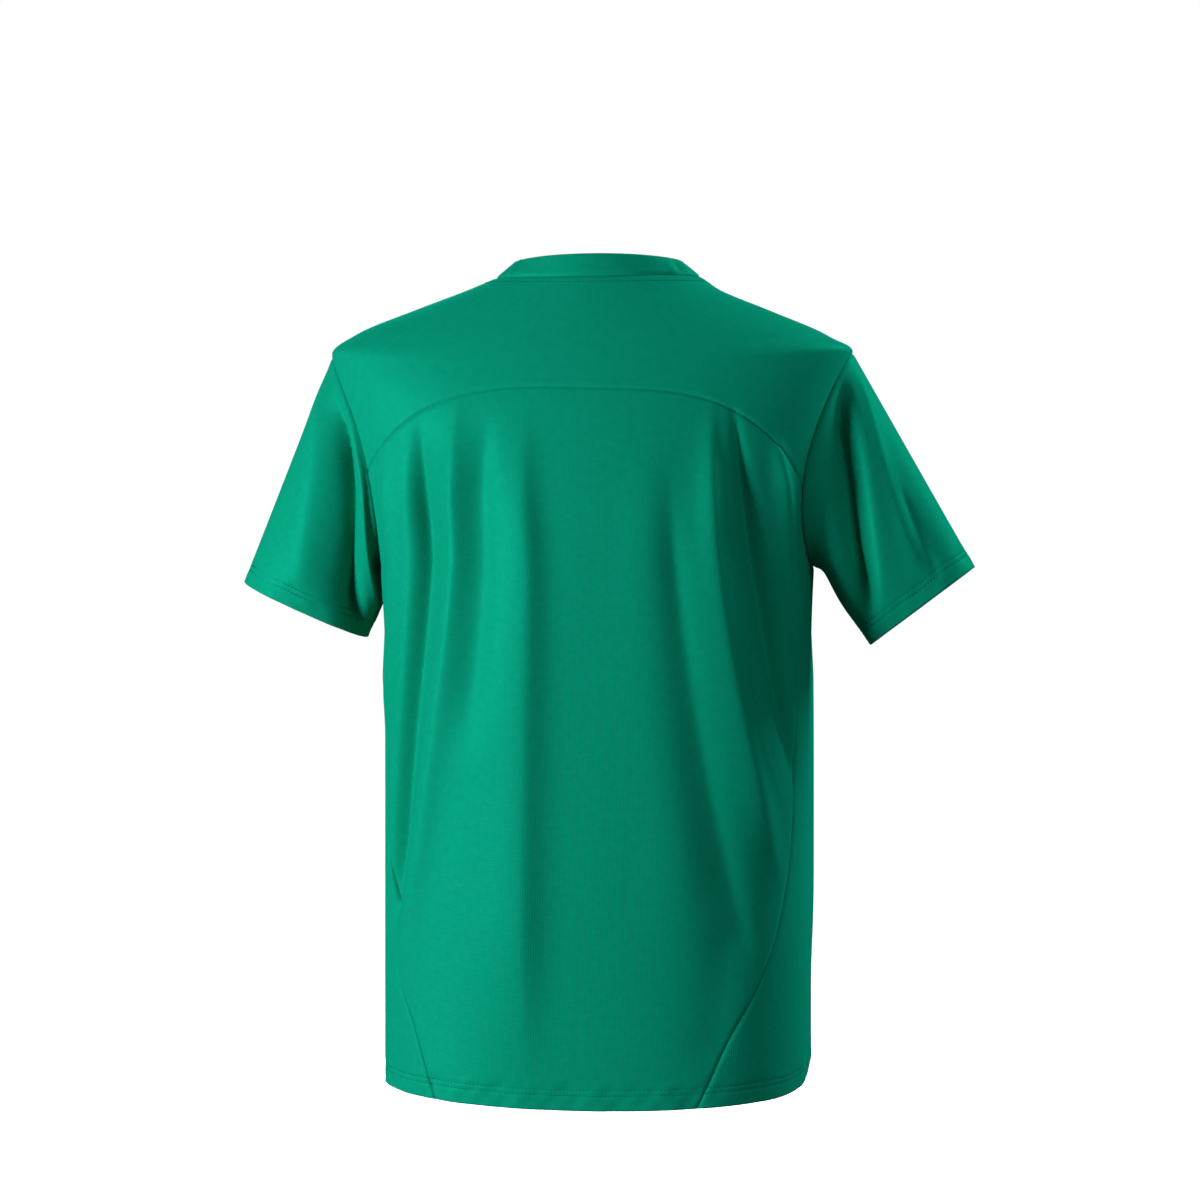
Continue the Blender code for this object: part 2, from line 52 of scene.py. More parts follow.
# ---- camera: level with the middle of the back, a little round to the wearer's right
CAMERA_DISTANCE = 2.5
CAMERA_AZIMUTH = 187.0
CAMERA_HEIGHT = -0.279
CAMERA_LENS = 85.2
CAMERA_SHIFT_X = 0.0017
CAMERA_SENSOR = 36.0

# ---- cloth: its thickness and seams, the cells of its grid, and flat lengths along it
CLOTH = 0.6
RIM_SWELL = 0.4
SHEET_OFFSET = 0.25
HEM_DEPTH = 18.0
HEM_ROLL = 0.75
SEAM_DEPTH = 1.1
SEAM_WIDTH = 1.7
SEAM_STEPS = (0.7, 1.4, 2.2, 3.2, 4.6)
CELL = 2.7
FRONT_CELL = 3.4
HEM_CELL = 1.3
HEM_FINE_ABOVE = 8.0
BODY_MM_PER_DEGREE = 3.25
SLEEVE_MM_PER_DEGREE = 1.15
SLEEVE_REACH = 215.0
SLEEVE_COLUMNS = 176
TURN_STEP = 2.0
HALVINGS = 50
RUN_SAMPLES = 60
PERIMETER_SAMPLES = 400
WITHOUT_HEIGHT = (1.0, 1.0, 0.0)
ONLY_HEIGHT = (0.0, 0.0, 1.0)

# ---- the body form, as in the part
BACK_FALL_POWER = 2.0
FRONT_FALL_POWER = 1.35
BodyRing = namedtuple(
    "BodyRing", "back_z side_z front_z half_width shift_x right_drop back_y front_y roundness")
BODY_RINGS = (
    BodyRing(-706.0, -698.0, -704.0, 186.5, 0.0, 0.0, 124.0, 130.0, 2.45),
    BodyRing(-600.0, -596.0, -600.0, 186.5, 0.0, 0.0, 122.0, 129.0, 2.45),
    BodyRing(-450.0, -449.0, -450.0, 186.5, 0.0, 0.0, 124.0, 131.0, 2.40),
    BodyRing(-330.0, -330.0, -334.0, 186.5, 0.0, 0.0, 128.0, 137.0, 2.40),
    BodyRing(-255.0, -251.0, -270.0, 190.0, 1.0, 0.0, 129.0, 140.0, 2.35),
    BodyRing(-190.0, -184.0, -222.0, 205.0, 4.0, 0.0, 126.0, 137.0, 2.25),
    BodyRing(-125.0, -113.0, -176.0, 221.0, 6.0, 1.0, 116.0, 126.0, 2.10),
    BodyRing(-100.0, -84.0, -158.0, 226.5, 7.0, 1.0, 108.5, 118.0, 2.05),
    BodyRing(-80.0, -61.0, -143.0, 230.0, 7.0, 2.0, 100.0, 109.0, 2.00),
    BodyRing(-62.0, -44.0, -127.0, 209.0, 6.0, 6.0, 92.0, 101.0, 2.00),
    BodyRing(-37.0, -23.0, -109.0, 158.0, 4.0, 5.0, 79.0, 91.0, 2.00),
    BodyRing(-14.0, -6.0, -94.0, 113.0, 2.0, 4.0, 66.0, 79.0, 2.00),
    BodyRing(0.0, 4.0, -85.0, 90.0, 0.0, 0.0, 58.0, 71.0, 2.00),
)
HEM_TWIST = 5.0
TWIST_START = -255.0
CATCH_ANGLE = -100.0
CATCH_SPREAD = 22.0
CATCH_HEIGHT = 26.0
CATCH_REACH = 110.0
SideSeamPoint = namedtuple("SideSeamPoint", "level angle")
SIDE_SEAM = (
    SideSeamPoint(-706.0, 35.0),
    SideSeamPoint(-651.0, 43.0),
    SideSeamPoint(-609.0, 51.0),
    SideSeamPoint(-560.0, 59.0),
    SideSeamPoint(-479.0, 66.0),
    SideSeamPoint(-364.0, 69.0),
    SideSeamPoint(-255.0, 72.0),
)
ARMHOLE_TOP = -80.0
ARMHOLE_BOTTOM = -254.0
ARMHOLE_BACK_SPREAD = 31.0
ARMHOLE_FRONT_SPREAD = 26.0
ARMHOLE_SQUARENESS = 0.8
SHOULDER_SEAM_ANGLE = 97.0
YOKE_MIDDLE_LEVEL = -99.5
YOKE_REACH_ANGLE = 65.0
YOKE_DROP = {+1: 86.0, -1: 88.0}
YOKE_POWER = {+1: 2.7, -1: 3.6}
YOKE_TILT = 8.0
SleeveEnd = namedtuple("SleeveEnd", "outer_x outer_z inner_x inner_z middle_y half_depth roundness")
SLEEVE_ENDS = {
    +1: SleeveEnd(317.0, -262.0, 208.0, -311.0, -4.0, 47.0, 2.2),
    -1: SleeveEnd(328.0, -250.0, 239.0, -317.0, -4.0, 47.0, 2.2),
}
UnderarmBow = namedtuple("UnderarmBow", "early_out early_up late_out")
UNDERARM_BOWS = {
    +1: UnderarmBow(5.0, 2.0, -4.0),
    -1: UnderarmBow(3.5, 4.0, 0.0),
}
BOW_POWER = 6.0
BOW_UNDER_POWER = 1.5
CREASE_CLEAR_OF_ARMHOLE = 0.06
COLLAR_RISE_BACK = 19.0
COLLAR_RISE_SIDE = 13.0
COLLAR_RISE_FRONT = 12.0
COLLAR_LEAN_SIDE = 16.0
COLLAR_LEAN_BACK = 6.0
COLLAR_LEAN_FRONT = 14.0
COLLAR_WALL = 0.75
COLLAR_GRID_HEIGHT = 19.0
COLLAR_GRID_CELL = 1.6

# ---- creases. Each runs from a top place through a middle one to a low one, and has its own
# width toward larger angles (over) and smaller ones (under). It starts at the share "narrow" of
# its width. A negative height is a trough. Power 2 is a round crest and 1 a sharp one.
Crease = namedtuple(
    "Crease",
    "top_angle top_level mid_angle mid_level low_angle low_level over under height narrow power")
BODY_CREASES = (
    # the back, from the wearer's left to right
    Crease(50.0, -140.0, 60.0, -270.0, 74.0, -400.0, 12.0, 12.0, 4.0, 0.6, 1.8),
    Crease(36.0, -116.0, 49.0, -340.0, 66.0, -640.0, 13.0, 27.0, -16.0, 0.5, 1.7),
    Crease(26.5, -98.0, 36.5, -340.0, 54.0, -680.0, 17.0, 16.0, 7.5, 0.5, 1.7),
    Crease(19.0, -112.0, 25.0, -260.0, 28.0, -420.0, 17.0, 14.0, -4.5, 0.5, 1.9),
    Crease(11.0, -102.0, 12.5, -380.0, 9.5, -710.0, 36.0, 15.0, 7.5, 0.55, 1.7),
    Crease(-17.0, -130.0, -22.0, -350.0, -34.0, -620.0, 30.0, 22.0, 3.0, 0.6, 2.0),
    Crease(-21.0, -150.0, -32.0, -390.0, -52.0, -620.0, 27.0, 12.0, -4.5, 0.5, 1.5),
    Crease(-30.5, -102.0, -39.0, -320.0, -62.0, -540.0, 22.0, 13.0, 8.0, 0.35, 1.6),
    Crease(-35.0, -108.0, -50.0, -280.0, -70.0, -460.0, 16.0, 12.0, -11.0, 0.25, 1.6),
    Crease(-36.5, -200.0, -44.0, -340.0, -62.0, -460.0, 4.0, 4.0, 1.2, 0.6, 1.6),
    Crease(-48.0, -140.0, -60.0, -240.0, -72.0, -350.0, 18.0, 14.0, 7.0, 0.4, 2.0),
    Crease(-42.0, -540.0, -40.0, -610.0, -37.0, -690.0, 22.0, 18.0, -1.8, 1.0, 2.0),
    # the front
    Crease(155.0, -200.0, 158.0, -400.0, 163.0, -650.0, 24.0, 24.0, 4.5, 0.6, 2.0),
    Crease(142.0, -190.0, 146.0, -370.0, 144.0, -580.0, 15.0, 16.0, -5.0, 0.5, 2.0),
    Crease(131.0, -180.0, 133.0, -360.0, 128.0, -560.0, 14.0, 14.0, 4.5, 0.5, 1.8),
    Crease(172.0, -240.0, 175.0, -430.0, 171.0, -640.0, 16.0, 20.0, -4.0, 0.6, 2.0),
    Crease(190.0, -230.0, 188.0, -420.0, 192.0, -670.0, 24.0, 20.0, 3.5, 0.6, 2.0),
    Crease(203.0, -190.0, 207.0, -380.0, 212.0, -600.0, 18.0, 15.0, -5.0, 0.5, 2.0),
    Crease(214.0, -180.0, 220.0, -350.0, 230.0, -560.0, 15.0, 14.0, 5.0, 0.4, 1.8),
    Crease(224.0, -170.0, 236.0, -300.0, 246.0, -470.0, 13.0, 14.0, -6.0, 0.3, 1.8),
    # the sides
    Crease(92.0, -270.0, 90.0, -380.0, 86.0, -560.0, 16.0, 16.0, -3.0, 0.5, 2.0),
    Crease(101.0, -280.0, 104.0, -420.0, 108.0, -620.0, 14.0, 14.0, 3.0, 0.5, 2.0),
    Crease(-92.0, -270.0, -90.0, -400.0, -94.0, -560.0, 15.0, 15.0, -3.0, 0.5, 2.0),
    Crease(-104.0, -280.0, -103.0, -440.0, -108.0, -640.0, 14.0, 14.0, 3.0, 0.5, 2.0),
)
SleeveCrease = namedtuple(
    "SleeveCrease",
    "side top_turn top_place mid_turn mid_place low_turn low_place over under height narrow power")
SLEEVE_CREASES = (
    # the wearer's left sleeve
    SleeveCrease(+1, 16.0, 0.04, 58.0, 0.46, 92.0, 1.02, 22.0, 26.0, 6.0, 0.5, 1.8),
    SleeveCrease(+1, 40.0, 0.03, 112.0, 0.35, 160.0, 1.00, 9.0, 34.0, -21.0, 0.4, 1.6),
    SleeveCrease(+1, 55.0, 0.03, 124.0, 0.20, 176.0, 0.76, 8.0, 8.0, 5.0, 0.5, 1.6),
    SleeveCrease(+1, 330.0, 0.10, 300.0, 0.50, 280.0, 1.02, 22.0, 22.0, 6.0, 0.4, 2.0),
    SleeveCrease(+1, 305.0, 0.08, 262.0, 0.36, 226.0, 0.98, 24.0, 10.0, -12.0, 0.3, 1.8),
    SleeveCrease(+1, 286.0, 0.08, 240.0, 0.24, 200.0, 0.90, 8.0, 9.0, 4.0, 0.4, 1.5),
    # the wearer's right sleeve
    SleeveCrease(-1, 16.0, 0.04, 50.0, 0.42, 76.0, 0.92, 8.0, 9.0, 2.5, 0.5, 1.4),
    SleeveCrease(-1, 46.0, 0.50, 56.0, 0.74, 64.0, 0.98, 6.0, 7.0, -1.8, 0.5, 1.6),
    SleeveCrease(-1, 36.0, 0.01, 82.0, 0.38, 158.0, 0.95, 22.0, 9.0, -19.0, 0.5, 1.5),
    SleeveCrease(-1, 34.0, 0.06, 74.0, 0.48, 140.0, 1.04, 9.0, 26.0, 4.0, 0.5, 1.7),
    SleeveCrease(-1, 335.0, 0.08, 300.0, 0.48, 285.0, 1.00, 20.0, 22.0, 6.0, 0.4, 2.0),
    SleeveCrease(-1, 300.0, 0.06, 262.0, 0.40, 228.0, 0.98, 22.0, 10.0, -12.0, 0.3, 1.8),
    SleeveCrease(-1, 275.0, 0.10, 238.0, 0.30, 204.0, 0.90, 9.0, 9.0, 4.0, 0.4, 1.5),
)
CREASE_STEPS = 16
CREASE_FADE = 0.25
CREASE_WIDENING = 1.6

# ---- puckers along the stitched hems: three unlike ripples
HemRipple = namedtuple("HemRipple", "period depth slant phase")
HEM_RIPPLES = (
    HemRipple(19.0, 0.14, 0.9, 0.3),
    HemRipple(31.0, 0.24, -0.5, 1.7),
    HemRipple(57.0, 0.40, 0.4, 4.1),
)
RIPPLE_TOP = HEM_DEPTH + 9.0
RIPPLE_FADE = 12.0
BODY_RIPPLE_WEIGHT = 1.0
SLEEVE_RIPPLE_WEIGHT = 0.8
SLEEVE_RIPPLE_MM_PER_DEGREE = 1.03
HEM_RUN_START = -117.0

# ---- stitching
TWIN_NEEDLE_GAP = 4.6
STITCH_LINE = HEM_DEPTH - 1.5
STITCH_GROOVE = 0.35
STITCH_GROOVE_WIDTH = 0.9
STITCH_PITCH = 3.1
STITCH_LENGTH = 2.3
STITCH_WIDTH = 0.62
STITCH_HEIGHT = 0.42
STITCH_SIDES = 6
STITCH_LIFT = 0.08
NECK_STITCH_LIFT = 0.05
NECK_OUTWARD = (0.0, 0.0, 60.0)
ANGLE_STEP = 0.2
LEVEL_STEP = 0.5
SLEEVE_TURN_STEP = 0.5
SLEEVE_PLACE_STEP = 0.004
StitchRing = namedtuple("StitchRing", "along width")
STITCH_RINGS = (
    StitchRing(-0.5, 0.0),
    StitchRing(-0.36, 0.75),
    StitchRing(0.0, 1.0),
    StitchRing(0.36, 0.75),
    StitchRing(0.5, 0.0),
)
COLLAR_STITCH_LEVEL = -5.6


# ---------------- form

def smooth_slopes(places, values):
    """Slopes for a smooth line through a table's rows that never overshoots them."""
    rates = np.diff(values) / np.diff(places)
    slopes = np.zeros(len(values))
    slopes[0] = rates[0]
    slopes[-1] = rates[-1]
    for index in range(1, len(values) - 1):
        before, after = rates[index - 1], rates[index]
        if before * after > 0.0:
            slopes[index] = 2.0 * before * after / (before + after)
    return slopes


class SmoothTable:
    """A short table whose columns are read smoothly at any value of its first column."""

    def __init__(self, rows):
        ordered = sorted(rows, key=lambda row: row[0])
        self.places = np.array([row[0] for row in ordered])
        self.columns = {}
        for index, name in enumerate(ordered[0]._fields):
            values = np.array([row[index] for row in ordered])
            self.columns[name] = (values, smooth_slopes(self.places, values))

    def read(self, name, place):
        """The values of one column."""
        values, slopes = self.columns[name]
        index = np.clip(np.searchsorted(self.places, place) - 1, 0, len(self.places) - 2)
        span = self.places[index + 1] - self.places[index]
        t = (place - self.places[index]) / span
        start = (2.0 * t - 3.0) * t * t + 1.0
        leave = ((t - 2.0) * t + 1.0) * t
        arrive = (t - 1.0) * t * t
        return (start * values[index] + (1.0 - start) * values[index + 1]
                + span * (leave * slopes[index] + arrive * slopes[index + 1]))


RINGS = SmoothTable(BODY_RINGS)
SEAM = SmoothTable(SIDE_SEAM)
HEM_LEVEL = BODY_RINGS[0].back_z
NECK_LEVEL = BODY_RINGS[-1].back_z


def sin_deg(angle):
    return np.sin(np.radians(angle))


def cos_deg(angle):
    return np.cos(np.radians(angle))


def unit(vectors):
    return vectors / np.linalg.norm(vectors, axis=-1, keepdims=True)


def facing(normals, outward):
    """The normals, turned round if they point inward."""
    return -normals if (normals * outward).sum() < 0.0 else normals


def superellipse_scale(sine, cosine, roundness):
    """How far a direction reaches on a unit superellipse."""
    return (np.abs(sine) ** roundness + np.abs(cosine) ** roundness) ** (-1.0 / roundness)


def turn_difference(angle, other):
    """The shortest way round from one angle to another."""
    return (angle - other + 180.0) % 360.0 - 180.0


def smooth_step(t):
    t = np.clip(t, 0.0, 1.0)
    return t * t * (3.0 - 2.0 * t)


def crease_height(across, along, points, crease):
    """Height of one crease at places given in millimetres across and along the cloth. Its line is
    a curve through the three points."""
    share = np.linspace(0.0, 1.0, CREASE_STEPS + 1)[:, None]
    top, middle, low = points
    curve = (top * (1.0 - share) * (1.0 - 2.0 * share) + middle * 4.0 * share * (1.0 - share)
             + low * share * (2.0 * share - 1.0))
    nearest = np.full(across.shape, np.inf)
    side = np.zeros(across.shape)
    place = np.zeros(across.shape)
    for index in range(CREASE_STEPS):
        step = curve[index + 1] - curve[index]
        dx = across - curve[index, 0]
        dy = along - curve[index, 1]
        rest = np.clip((dx * step[0] + dy * step[1]) / step.dot(step), 0.0, 1.0)
        square = (dx - rest * step[0]) ** 2 + (dy - rest * step[1]) ** 2
        closer = square < nearest
        nearest = np.where(closer, square, nearest)
        side = np.where(closer, step[0] * dy - step[1] * dx, side)
        place = np.where(closer, (index + rest) / CREASE_STEPS, place)
    width = np.where(side > 0.0, crease.over, crease.under) * (
        crease.narrow + (1.0 - crease.narrow) * smooth_step(place * CREASE_WIDENING))
    strength = smooth_step(place / CREASE_FADE) * smooth_step((1.0 - place) / CREASE_FADE)
    return crease.height * strength * np.exp(-(np.sqrt(nearest) / width) ** crease.power)


def body_creases(angle, level):
    """How far the creases lift the body cloth."""
    total = np.zeros(np.broadcast(angle, level).shape)
    for crease in BODY_CREASES:
        middle = crease.mid_angle
        across = (middle + turn_difference(angle, middle)) * BODY_MM_PER_DEGREE
        points = np.reshape(crease[:6], (3, 2)) * (BODY_MM_PER_DEGREE, 1.0)
        total += crease_height(across, level, points, crease)
    return total


def body_point(angle, level):
    """Points of the worn body. Angle 0 is the middle of the back, +90 the wearer's left side."""
    angle, level = np.broadcast_arrays(np.asarray(angle, float), np.asarray(level, float))
    fallen = np.maximum(TWIST_START - level, 0.0) / (TWIST_START - HEM_LEVEL)
    worn = angle + HEM_TWIST * fallen
    sine = sin_deg(worn)
    cosine = cos_deg(worn)
    half_width = RINGS.read("half_width", level)
    side_z = RINGS.read("side_z", level)
    behind = cosine >= 0.0
    depth = np.where(behind, RINGS.read("back_y", level), RINGS.read("front_y", level))
    end_z = np.where(behind, RINGS.read("back_z", level), RINGS.read("front_z", level))
    fall = np.where(behind, np.abs(cosine) ** BACK_FALL_POWER, np.abs(cosine) ** FRONT_FALL_POWER)
    reach = superellipse_scale(sine, cosine, RINGS.read("roundness", level))
    outward = unit(np.stack([sine / half_width, cosine / depth, np.zeros_like(sine)], -1))
    caught = np.exp(-(turn_difference(worn, CATCH_ANGLE) / CATCH_SPREAD) ** 2)
    low = np.maximum(1.0 - (level - HEM_LEVEL) / CATCH_REACH, 0.0) ** 2
    lowered = RINGS.read("right_drop", level) * np.maximum(-sine, 0.0) ** 2
    point = np.stack([
        RINGS.read("shift_x", level) + half_width * reach * sine,
        depth * reach * cosine,
        side_z + (end_z - side_z) * fall + CATCH_HEIGHT * caught * low - lowered,
    ], -1)
    return point + outward * body_creases(angle, level)[..., None]


def armhole_place(turn):
    """Angle and level on the left armhole. Turn 0 is the shoulder seam, 90 the back, 180 the
    underarm and 270 the front."""
    sine = sin_deg(turn)
    drop = (1.0 - cos_deg(turn)) / 2.0
    swing = np.copysign(np.abs(sine) ** ARMHOLE_SQUARENESS, sine)
    spread = np.where(sine > 0.0, ARMHOLE_BACK_SPREAD, ARMHOLE_FRONT_SPREAD)
    middle = SHOULDER_SEAM_ANGLE + (90.0 - SHOULDER_SEAM_ANGLE) * drop
    return middle - spread * swing, ARMHOLE_TOP + (ARMHOLE_BOTTOM - ARMHOLE_TOP) * drop


def yoke_level(angle):
    """Height of the yoke seam."""
    share = np.abs(sin_deg(angle)) / sin_deg(YOKE_REACH_ANGLE)
    left = np.asarray(angle) > 0.0
    drop = np.where(left, YOKE_DROP[+1], YOKE_DROP[-1])
    power = np.where(left, YOKE_POWER[+1], YOKE_POWER[-1])
    return YOKE_MIDDLE_LEVEL + YOKE_TILT * sin_deg(angle) - drop * share ** power


def crossing(miss, low, high):
    """Where a quantity passes through zero between two turns."""
    low_positive = miss(low) > 0.0
    for _ in range(HALVINGS):
        middle = (low + high) / 2.0
        if (miss(middle) > 0.0) == low_positive:
            low = middle
        else:
            high = middle
    return (low + high) / 2.0


def back_seam_miss(turn):
    angle, level = armhole_place(turn)
    return angle - SEAM.read("angle", level)


def front_seam_miss(turn):
    angle, level = armhole_place(turn)
    return 180.0 - angle - SEAM.read("angle", level)


def yoke_miss(side):
    def miss(turn):
        angle, level = armhole_place(turn)
        return level - yoke_level(side * angle)
    return miss


# where the seams meet the armhole, each looked for between two of its turns
BACK_SEAM_TURN = crossing(back_seam_miss, 95.0, 180.0)
FRONT_SEAM_TURN = crossing(front_seam_miss, 180.0, 265.0)
YOKE_TURN = {side: crossing(yoke_miss(side), 30.0, BACK_SEAM_TURN) for side in (+1, -1)}


def sleeve_end_point(side, turn):
    """Points on the sleeve's opening."""
    end = SLEEVE_ENDS[side]
    sine = sin_deg(turn)
    cosine = cos_deg(turn)
    reach = superellipse_scale(sine, cosine, end.roundness)
    along = cosine * reach / 2.0
    return np.stack([
        side * ((end.outer_x + end.inner_x) / 2.0 + (end.outer_x - end.inner_x) * along),
        end.middle_y + end.half_depth * sine * reach,
        (end.outer_z + end.inner_z) / 2.0 + (end.outer_z - end.inner_z) * along,
    ], -1)


def underarm_bow(side, turn, place):
    """How the cloth under the arm departs from a straight line to the sleeve's opening."""
    bow = UNDERARM_BOWS[side]
    under = np.maximum(-cos_deg(turn), 0.0) ** BOW_UNDER_POWER
    peak = 1.0 / (1.0 + BOW_POWER)
    early = place / peak * (np.maximum(1.0 - place, 0.0) / (1.0 - peak)) ** BOW_POWER
    late = (4.0 * place * (1.0 - place)) ** 2
    out = side * (bow.early_out * early + bow.late_out * late)
    return np.stack([out, np.zeros_like(out), bow.early_up * early], -1) * under[..., None]


def sleeve_creases(side, turn, place):
    """How far the creases lift the sleeve cloth."""
    total = np.zeros(np.broadcast(turn, place).shape)
    for crease in SLEEVE_CREASES:
        if crease.side == side:
            middle = crease.mid_turn
            across = (middle + turn_difference(turn, middle)) * SLEEVE_MM_PER_DEGREE
            points = np.reshape(crease[1:7], (3, 2)) * (SLEEVE_MM_PER_DEGREE, -SLEEVE_REACH)
            total += crease_height(across, -place * SLEEVE_REACH, points, crease)
    return total


def sleeve_point(side, turn, place):
    """Points of the sleeve, from its armhole at place 0 to its opening at place 1."""
    turn, place = np.broadcast_arrays(np.asarray(turn, float), np.asarray(place, float))
    angle, level = armhole_place(turn)
    start = body_point(side * angle, level)
    end = sleeve_end_point(side, turn)
    across = sleeve_end_point(side, turn + TURN_STEP) - sleeve_end_point(side, turn - TURN_STEP)
    outward = unit(np.cross(end - start, across)) * side
    lift = sleeve_creases(side, turn, place) * smooth_step(place / CREASE_CLEAR_OF_ARMHOLE)
    point = start + (end - start) * place[..., None]
    return point + underarm_bow(side, turn, place) + outward * lift[..., None]


def collar_point(angle, place):
    """Points of the collar band, from the neck seam at place 0 to its folded top at place 1."""
    angle, place = np.broadcast_arrays(np.asarray(angle, float), np.asarray(place, float))
    base = body_point(angle, NECK_LEVEL)
    sine = sin_deg(angle)
    cosine = cos_deg(angle)
    back = np.maximum(cosine, 0.0) ** 2
    front = np.maximum(-cosine, 0.0) ** 2
    rise = COLLAR_RISE_SIDE * sine ** 2 + COLLAR_RISE_BACK * back + COLLAR_RISE_FRONT * front
    lean = COLLAR_LEAN_SIDE * sine ** 2 + COLLAR_LEAN_BACK * back + COLLAR_LEAN_FRONT * front
    step = np.stack([-sine * lean, -cosine * lean, rise], -1)
    return base + step * place[..., None]


# ---------------- sheets

def shares(length, cell, seam_start, seam_end, extra_start=()):
    """Shares from 0 to 1 along an edge, closer together beside its seams."""
    first = list(SEAM_STEPS) if seam_start else list(extra_start)
    final = list(SEAM_STEPS) if seam_end else []
    start = first[-1] if first else 0.0
    end = length - (final[-1] if final else 0.0)
    count = max(int(round((end - start) / cell)), 1)
    middle = list(np.linspace(start, end, count + 1))
    head = [0.0] + first[:-1] if first else []
    tail = [length - step for step in reversed(final[:-1])] + [length] if final else []
    return np.array(head + middle + tail) / length


def run_length(place_at):
    """Length of a seam drawn on the body."""
    angle, level = place_at(np.linspace(0.0, 1.0, RUN_SAMPLES))
    return np.linalg.norm(np.diff(body_point(angle, level), axis=0), axis=1).sum()


def joined(parts):
    """Joins stretches of an edge, each a way of finding places and its shares, into one run."""
    runs = []
    for index, (place_at, where) in enumerate(parts):
        run = run_at(*place_at(where))
        runs.append(run if index == 0 else run[1:])
    return np.concatenate(runs)


def run_at(angle, level):
    """An edge's places from its angles and levels."""
    return np.stack(np.broadcast_arrays(angle, level), -1)


def flip(run):
    """The same places on the wearer's other side."""
    return run * np.array([-1.0, 1.0])


def patch(lower, upper, first, last, u):
    """Fills a panel between its lower and upper edge and its two side edges."""
    heights = (first[:, 1] + last[:, 1]) / 2.0
    v = ((heights - heights[0]) / (heights[-1] - heights[0]))[:, None, None]
    u = u[None, :, None]
    corners = ((1.0 - u) * (1.0 - v) * lower[0] + u * (1.0 - v) * lower[-1]
               + (1.0 - u) * v * upper[0] + u * v * upper[-1])
    return ((1.0 - v) * lower[None] + v * upper[None]
            + (1.0 - u) * first[:, None] + u * last[:, None] - corners)


def grid_normals(points, closed):
    """Unit normals of a grid of points, from its rows and columns."""
    if closed:
        du = np.roll(points, -1, axis=1) - np.roll(points, 1, axis=1)
    else:
        du = np.gradient(points, axis=1)
    dv = np.gradient(points, axis=0)
    return unit(np.cross(du, dv))


def edge_distance(points, axis, reverse):
    """How far each point is from one edge of the grid, along the cloth."""
    steps = np.linalg.norm(np.diff(points, axis=axis), axis=-1)
    total = np.cumsum(steps, axis=axis)
    zero = np.zeros_like(np.take(total, [0], axis=axis))
    total = np.concatenate([zero, total], axis=axis)
    return np.take(total, [-1], axis=axis) - total if reverse else total


def seam_dip(distance):
    """How far the cloth turns in beside a seam."""
    return -SEAM_DEPTH * np.exp(-(distance / SEAM_WIDTH) ** 2)


def ripples(run, above_edge, weight):
    """Small uneven puckers between a hem's edge and its stitching."""
    total = np.zeros(np.broadcast(run, above_edge).shape)
    for ripple in HEM_RIPPLES:
        total += ripple.depth * np.sin(
            (run + ripple.slant * above_edge) * math.tau / ripple.period + ripple.phase)
    band = smooth_step((RIPPLE_TOP - above_edge) / RIPPLE_FADE)
    return total * band * weight


def stitch_groove(above_edge):
    """The two needle lines pull the cloth in."""
    upper = np.exp(-((above_edge - STITCH_LINE) / STITCH_GROOVE_WIDTH) ** 2)
    lower = np.exp(-((above_edge - STITCH_LINE + TWIN_NEEDLE_GAP) / STITCH_GROOVE_WIDTH) ** 2)
    return -STITCH_GROOVE * (upper + lower)


def with_turn_up(points, normals, uv, above_edge):
    """Adds a hem's roll and turn-up below the first rows of a grid."""
    rows = [row for row in range(len(points)) if above_edge[row].mean() < HEM_DEPTH][1:]
    down = unit(points[0] - points[1])
    inner = [points[row] - normals[row] * 2.0 * HEM_ROLL for row in reversed(rows)]
    inner_uv = [uv[row] * np.array([1.0, -1.0]) + np.array([0.0, 2.0]) * uv[0]
                for row in reversed(rows)]
    centre = points[0] - normals[0] * HEM_ROLL
    roll = [centre + normals[0] * HEM_ROLL * cos_deg(turn) + down * HEM_ROLL * sin_deg(turn)
            for turn in (180.0, 135.0, 90.0, 45.0)]
    roll_uv = [uv[0]] * len(roll)
    return (np.concatenate([np.array(inner + roll), points]),
            np.concatenate([np.array(inner_uv + roll_uv), uv]))


